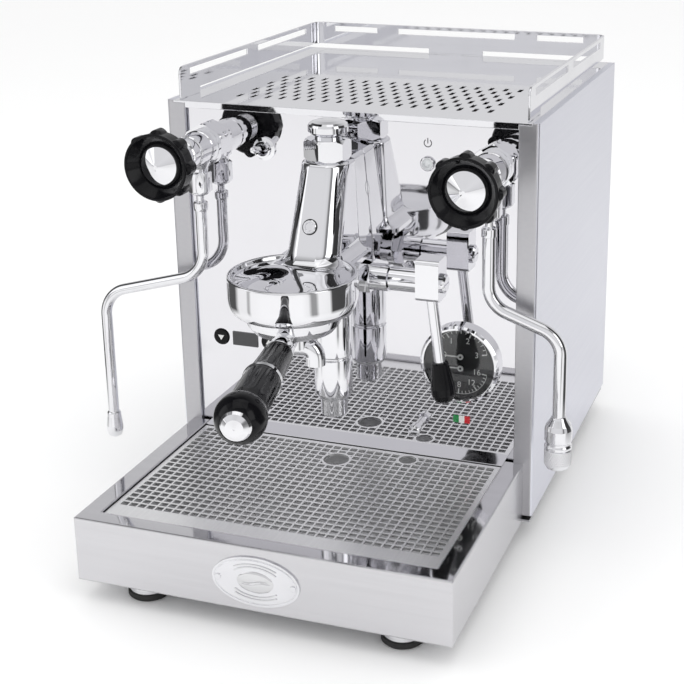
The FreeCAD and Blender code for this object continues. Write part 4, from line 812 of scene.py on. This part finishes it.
# gauge print, button marks, lamp ring and panel mark
def textMesh(words, high, x, y, z):
    curve = bpy.data.curves.new("figure", "FONT")
    curve.body = words
    curve.size = high / 1000
    curve.extrude = 0.00002
    curve.align_x = "CENTER"
    curve.align_y = "CENTER"
    label = bpy.data.objects.new("figure", curve)
    bpy.context.scene.collection.objects.link(label)
    label.matrix_world = Matrix.Translation(spot(x, y, z)) @ Matrix.Rotation(math.pi / 2, 4, "X")
    bpy.context.view_layer.update()
    mesh = bpy.data.meshes.new_from_object(label.evaluated_get(bpy.context.evaluated_depsgraph_get()))
    mesh.transform(label.matrix_world)
    points = [vertex.co.copy() for vertex in mesh.vertices]
    faces = [tuple(face.vertices) for face in mesh.polygons]
    bpy.data.objects.remove(label)
    return points, faces


# thin plate facing the user from an outline of (x, z) points in millimetres
def plateMesh(outline, y, thick):
    count = len(outline)
    points = [spot(x, y, z) for x, z in outline] + [spot(x, y + thick, z) for x, z in outline]
    faces = [tuple(range(count)), tuple(range(2 * count - 1, count - 1, -1))]
    for step in range(count):
        ahead = (step + 1) % count
        faces.append((step, step + count, ahead + count, ahead))
    return points, faces


def bandMesh(x, z, inner, outer, startAngle, endAngle, y, thick, steps=40):
    edge = thereAndBack(inner, outer, fan(startAngle, endAngle, steps))
    return plateMesh([(x + r * math.cos(angle), z + r * math.sin(angle)) for r, angle in edge], y, thick)


gauge = {"x": 86.5, "z": 136.5, "printY": 1.94, "thick": 0.05, "sweep": 170, "tickInner": 18.0,
         "tickOuter": 20.2, "figureAt": 13.4, "figureHigh": 6.4, "ticksPerFigure": 5, "rimLine": 0.35,
         "scales": ((5.0, 1, ("0", "1", "2", "3")), (-4.0, -1, ("0", "4", "8", "12", "16")))}
prints = []
for hub, turn, figures in gauge["scales"]:
    hubZ = gauge["z"] + hub
    perFigure = gauge["ticksPerFigure"]
    lastTick = (len(figures) - 1) * perFigure
    for step in range(lastTick + 1):
        angle = math.radians(180 - turn * gauge["sweep"] * step / lastTick)
        large = step % perFigure == 0
        inner = gauge["tickInner"] - (1.6 if large else 0)
        outer = gauge["tickOuter"]
        along = Vector((math.cos(angle), math.sin(angle)))
        acrossTick = Vector((-along.y, along.x)) * (0.5 if large else 0.26)
        centre = Vector((gauge["x"], hubZ))
        corners = [centre + along * inner - acrossTick, centre + along * outer - acrossTick,
                   centre + along * outer + acrossTick, centre + along * inner + acrossTick]
        prints.append(plateMesh([tuple(c) for c in corners], gauge["printY"], gauge["thick"]))
        if large:
            where = centre + along * (gauge["figureAt"] - (1.0 if step in (0, lastTick) else 0))
            prints.append(textMesh(figures[step // perFigure], gauge["figureHigh"], where.x,
                                   gauge["printY"] + 0.02, where.y))
    prints.append(bandMesh(gauge["x"], hubZ, gauge["tickOuter"], gauge["tickOuter"] + gauge["rimLine"], 180,
                           180 - turn * gauge["sweep"], gauge["printY"], gauge["thick"]))
newPiece("gaugeScale", gathered(prints), "whitePaint", "machine")

buttons = {"x": -88, "apart": 20.2, "z": 134, "face": 1.56, "half": 2.6, "foot": 1.6}
for name, body, turn in (("downMark", "button_down", -1), ("upMark", "button_up", 1)):
    x, z = buttons["x"] + turn * buttons["apart"], buttons["z"]
    low, half = z - turn * buttons["foot"], buttons["half"]
    outline = [(x - half, low), (x + half, low), (x, z + turn * half)]
    newPiece(name, plateMesh(outline[::turn], buttons["face"], 0.06), "whitePaint", body)

lamp = {"x": 61, "z": 284.6, "markZ": 299.5, "markY": 2.94, "markThick": 0.06}
lampRim = softCorners([(3.5, 0.0), (5.4, 0.0), (5.4, -1.4), (4.6, -2.6), (3.9, -2.4), (3.5, -1.2),
                       (3.5, -0.02)], 0.4, 4)
lampShell = turnedMesh([tuple(p) for p in lampRim], (lamp["x"], 3.0, lamp["z"]), (0, 1, 0), 64)
newPiece("lampRim", lampShell, "chromePlate", "machine")
mark = [bandMesh(lamp["x"], lamp["markZ"], 2.4, 3.1, 125, 415, lamp["markY"], lamp["markThick"]),
        plateMesh([(60.65, 299.2), (61.35, 299.2), (61.35, 303.2), (60.65, 303.2)], lamp["markY"],
                  lamp["markThick"])]
newPiece("powerMark", gathered(mark), "greyPrint", "machine")
print("gauge and panel marks done")
print("gauge and panel marks done")


# badge relief: a plain coffee bean between raised lines
badge = {"z": 38.5, "face": -174.2, "beanHalfWide": 13.2, "beanHalfHigh": 7.8, "rise": 1.5,
         "arcs": ((11.2, 52), (13.2, 42)), "arcStretch": 1.75, "arcWide": 0.8}


def beanMesh():
    points, faces = [], []
    rows, steps = 14, 64
    for row in range(rows + 1):
        share = row / rows
        for step in range(steps):
            angle = 2 * math.pi * step / steps
            x = share * math.cos(angle)
            z = share * math.sin(angle)
            groove = math.exp(-((z - 0.16 * math.sin(math.pi * x)) / 0.10) ** 2)
            rise = badge["rise"] * math.sqrt(max(1 - share ** 2, 0)) * (1 - 0.65 * groove) + 0.05
            points.append(spot(x * badge["beanHalfWide"], badge["face"] - rise,
                               badge["z"] + z * badge["beanHalfHigh"]))
    for point in points[-steps:]:
        points.append(Vector((point.x, middle.y + (badge["face"] + 0.2) / 1000, point.z)))
    for row in range(rows + 1):
        faces += rowFaces(row, row + 1, steps)
    faces.append(tuple(range(len(points) - steps, len(points))))
    return points, faces


relief = [beanMesh()]
for turn in (1, -1):
    for radius, spread in badge["arcs"]:
        edge = thereAndBack(radius, radius - badge["arcWide"], fan(90 - spread, 90 + spread, 24))
        outline = [(badge["arcStretch"] * r * math.cos(angle), badge["z"] + turn * r * math.sin(angle))
                   for r, angle in edge]
        relief.append(plateMesh(outline[::turn], badge["face"] - 0.5, 0.7))
newPiece("badgeRelief", gathered(relief), "screwSteel", "machine", 40)


# diamond knurl on the hot-water nozzle
knurl = {"x": 164.5, "y": -14, "low": 74.5, "high": 86.7, "radius": 9.5, "rise": 0.45, "around": 36,
         "rows": 48, "diamonds": 4.0}
def knurlSwell(angle, index):
    if index > knurl["rows"]:
        return 0.0
    along = knurl["diamonds"] * 2 * math.pi * index / knurl["rows"]
    around = knurl["around"] * angle
    one = abs(math.sin((around + along) / 2))
    other = abs(math.sin((around - along) / 2))
    ends = min(index, knurl["rows"] - index, 3) / 3
    return knurl["rise"] * min(one, other) * ends + 0.12


knurlHigh = knurl["high"] - knurl["low"]
profile = [(knurl["radius"] - 0.1, knurl["low"] + knurlHigh * row / knurl["rows"])
           for row in range(knurl["rows"] + 1)]
profile += [(knurl["radius"] - 1.5, knurl["high"]), (knurl["radius"] - 1.5, knurl["low"])]
knurlShell = turnedMesh(profile, (knurl["x"], knurl["y"], 0), (0, 0, 1), 288, knurlSwell)
newPiece("nozzleKnurl", knurlShell, "chromePlate", "water_wand", 60)
print("badge and knurl done")

# floor, light and camera
studio = {"skyLight": 0.92, "plainSky": 1.05, "floorTone": 0.965, "topPower": 5.0, "leftPower": 2.4,
          "rightPower": 3.6, "paintedFlagsFrom": 0.33, "paintedFlagsTo": 0.47,
          "flags": ((0.13, 0.85), (0.15, 0.10), (0.25, 0.08), (0.28, 0.90), (0.335, 0.90), (0.343, 0.45),
                    (0.352, 0.45), (0.362, 0.95), (0.42, 1.0), (0.60, 1.0), (0.63, 0.90), (0.645, 0.30),
                    (0.665, 0.30), (0.68, 0.90), (0.735, 0.90), (0.75, 0.06), (0.85, 0.06), (0.87, 0.85)),
          "upwards": ((0.42, 0.70), (0.50, 0.85), (0.64, 0.95), (0.80, 0.88), (0.90, 0.60), (0.95, 0.22),
                      (0.985, 0.45))}


def greyRamp(tree, along, first, last, stops, blue):
    ramp = addNode(tree, "ShaderNodeValToRGB")
    ramp.color_ramp.elements[0].color = first
    ramp.color_ramp.elements[1].color = last
    for place, grey in stops:
        stop = ramp.color_ramp.elements.new(place)
        stop.color = (grey, grey, grey * blue, 1)
    feed(tree, along, ramp.inputs["Fac"])
    return ramp.outputs["Color"]


def flagRamp(tree, across, away):
    turned = mathNode(tree, "ARCTAN2", across, times(tree, away, -1.0))
    pale = (0.9, 0.9, 0.9, 1)
    return greyRamp(tree, ranged(tree, turned, -math.pi, math.pi), pale, pale, studio["flags"], 1.0)


floorMesh = bpy.data.meshes.new("floor")
floorMesh.from_pydata([(-6, -4, 0), (6, -4, 0), (6, 9, 0), (-6, 9, 0)], [], [(0, 1, 2, 3)])
floor = bpy.data.objects.new("floor", floorMesh)
bpy.context.scene.collection.objects.link(floor)
floorPaint, floorTree, floorShader, floorWhere = startMaterial("floorPaint", 0.0, 0.55, (0.9, 0.9, 0.9))
tone = studio["floorTone"]
plainTone = mixOf(floorTree, noiseOf(floorTree, floorWhere, 3.0, 2.0), (tone, tone, tone, 1),
                  (tone - 0.01, tone - 0.01, tone - 0.01, 1))
floorShader["Specular IOR Level"].default_value = 0.25
floorMesh.materials.append(floorPaint)
# painted reflection: polished metal sees dark flags painted onto the floor's colour, for glossy rays only, in
# a ring round the bell
floorParts = splitOf(floorTree, floorWhere)
fromBell = spot(0, -60, 0)
across = mathNode(floorTree, "SUBTRACT", floorParts["X"], fromBell.x)
away = mathNode(floorTree, "SUBTRACT", floorParts["Y"], fromBell.y)
squares = mathNode(floorTree, "ADD", times(floorTree, across, across), times(floorTree, away, away))
distance = mathNode(floorTree, "SQRT", squares)
glossy = addNode(floorTree, "ShaderNodeLightPath").outputs["Is Glossy Ray"]
paintedFlagMask = times(floorTree, glossy, ranged(floorTree, distance, studio["paintedFlagsFrom"], studio["paintedFlagsTo"]))
floorWithPaintedFlags = mixOf(floorTree, paintedFlagMask, plainTone, flagRamp(floorTree, across, away), "MULTIPLY")
feed(floorTree, floorWithPaintedFlags, floorShader["Base Color"])

world = bpy.data.worlds.new("studioSky")
bpy.context.scene.world = world
world.use_nodes = True
sky = world.node_tree
background = sky.nodes["Background"]
background.inputs["Strength"].default_value = studio["skyLight"]
directions = splitOf(sky, addNode(sky, "ShaderNodeTexCoord").outputs["Generated"])
# polished metal sees pale walls with darker flags between them, everything else an even pale room
upwards = greyRamp(sky, ranged(sky, directions["Z"], -1.0, 1.0), (0.80, 0.80, 0.81, 1), (0.55, 0.55, 0.56, 1),
                   studio["upwards"], 1.015)
shade = mixOf(sky, 1.0, upwards, flagRamp(sky, directions["X"], directions["Y"]), "MULTIPLY")
feed(sky, shade, background.inputs["Color"])
plainSky = addNode(sky, "ShaderNodeBackground")
plainSky.inputs["Color"].default_value = (1, 1, 1, 1)
plainSky.inputs["Strength"].default_value = studio["plainSky"]
bothSkies = addNode(sky, "ShaderNodeMixShader")
feed(sky, addNode(sky, "ShaderNodeLightPath").outputs["Is Glossy Ray"], bothSkies.inputs["Fac"])
feed(sky, plainSky.outputs["Background"], bothSkies.inputs[1])
feed(sky, background.outputs["Background"], bothSkies.inputs[2])
feed(sky, bothSkies.outputs["Shader"], sky.nodes["World Output"].inputs["Surface"])


def softBox(name, at, aim, wide, high, power):
    light = bpy.data.lights.new(name, "AREA")
    light.shape = "RECTANGLE"
    light.size = wide
    light.size_y = high
    light.energy = power
    box = bpy.data.objects.new(name, light)
    box.location = at
    box.rotation_euler = (Vector(aim) - Vector(at)).to_track_quat("-Z", "Y").to_euler()
    bpy.context.scene.collection.objects.link(box)


softBox("topBox", (0.1, -0.3, 1.7), (0, 0.0, 0.1), 1.6, 1.2, studio["topPower"])
softBox("leftBox", (-1.5, -0.9, 0.9), (0, 0, 0.15), 1.0, 1.2, studio["leftPower"])
softBox("rightBox", (1.7, -0.6, 0.9), (0, 0, 0.15), 0.8, 1.2, studio["rightPower"])

view = {"focal": 1364.4, "centreX": 444.6, "centreY": 239.4, "around": 17.80, "above": 16.83, "roll": 0.05,
        "at": (360.2, -890.0, 513.3), "frameWide": 684, "sensor": 36}
cameraData = bpy.data.cameras.new("camera")
camera = bpy.data.objects.new("camera", cameraData)
bpy.context.scene.collection.objects.link(camera)
around, above, roll = (math.radians(view[key]) for key in ("around", "above", "roll"))
back = Vector((math.sin(around) * math.cos(above), -math.cos(around) * math.cos(above), math.sin(above)))
right = Vector((math.cos(around), math.sin(around), 0))
upward = back.cross(right)
turnedRight = right * math.cos(roll) + upward * math.sin(roll)
turnedUp = upward * math.cos(roll) - right * math.sin(roll)
camera.matrix_world = Matrix.Translation(spot(*view["at"])) @ Matrix(
    (turnedRight, turnedUp, back)).transposed().to_4x4()
cameraData.sensor_width = view["sensor"]
cameraData.lens = view["focal"] / view["frameWide"] * view["sensor"]
cameraData.shift_x = (view["frameWide"] / 2 - view["centreX"]) / view["frameWide"]
cameraData.shift_y = (view["centreY"] - view["frameWide"] / 2) / view["frameWide"]
cameraData.clip_start = 0.01
bpy.context.scene.camera = camera
bpy.context.scene.view_settings.view_transform = "Standard"
print("floor, light and camera placed")
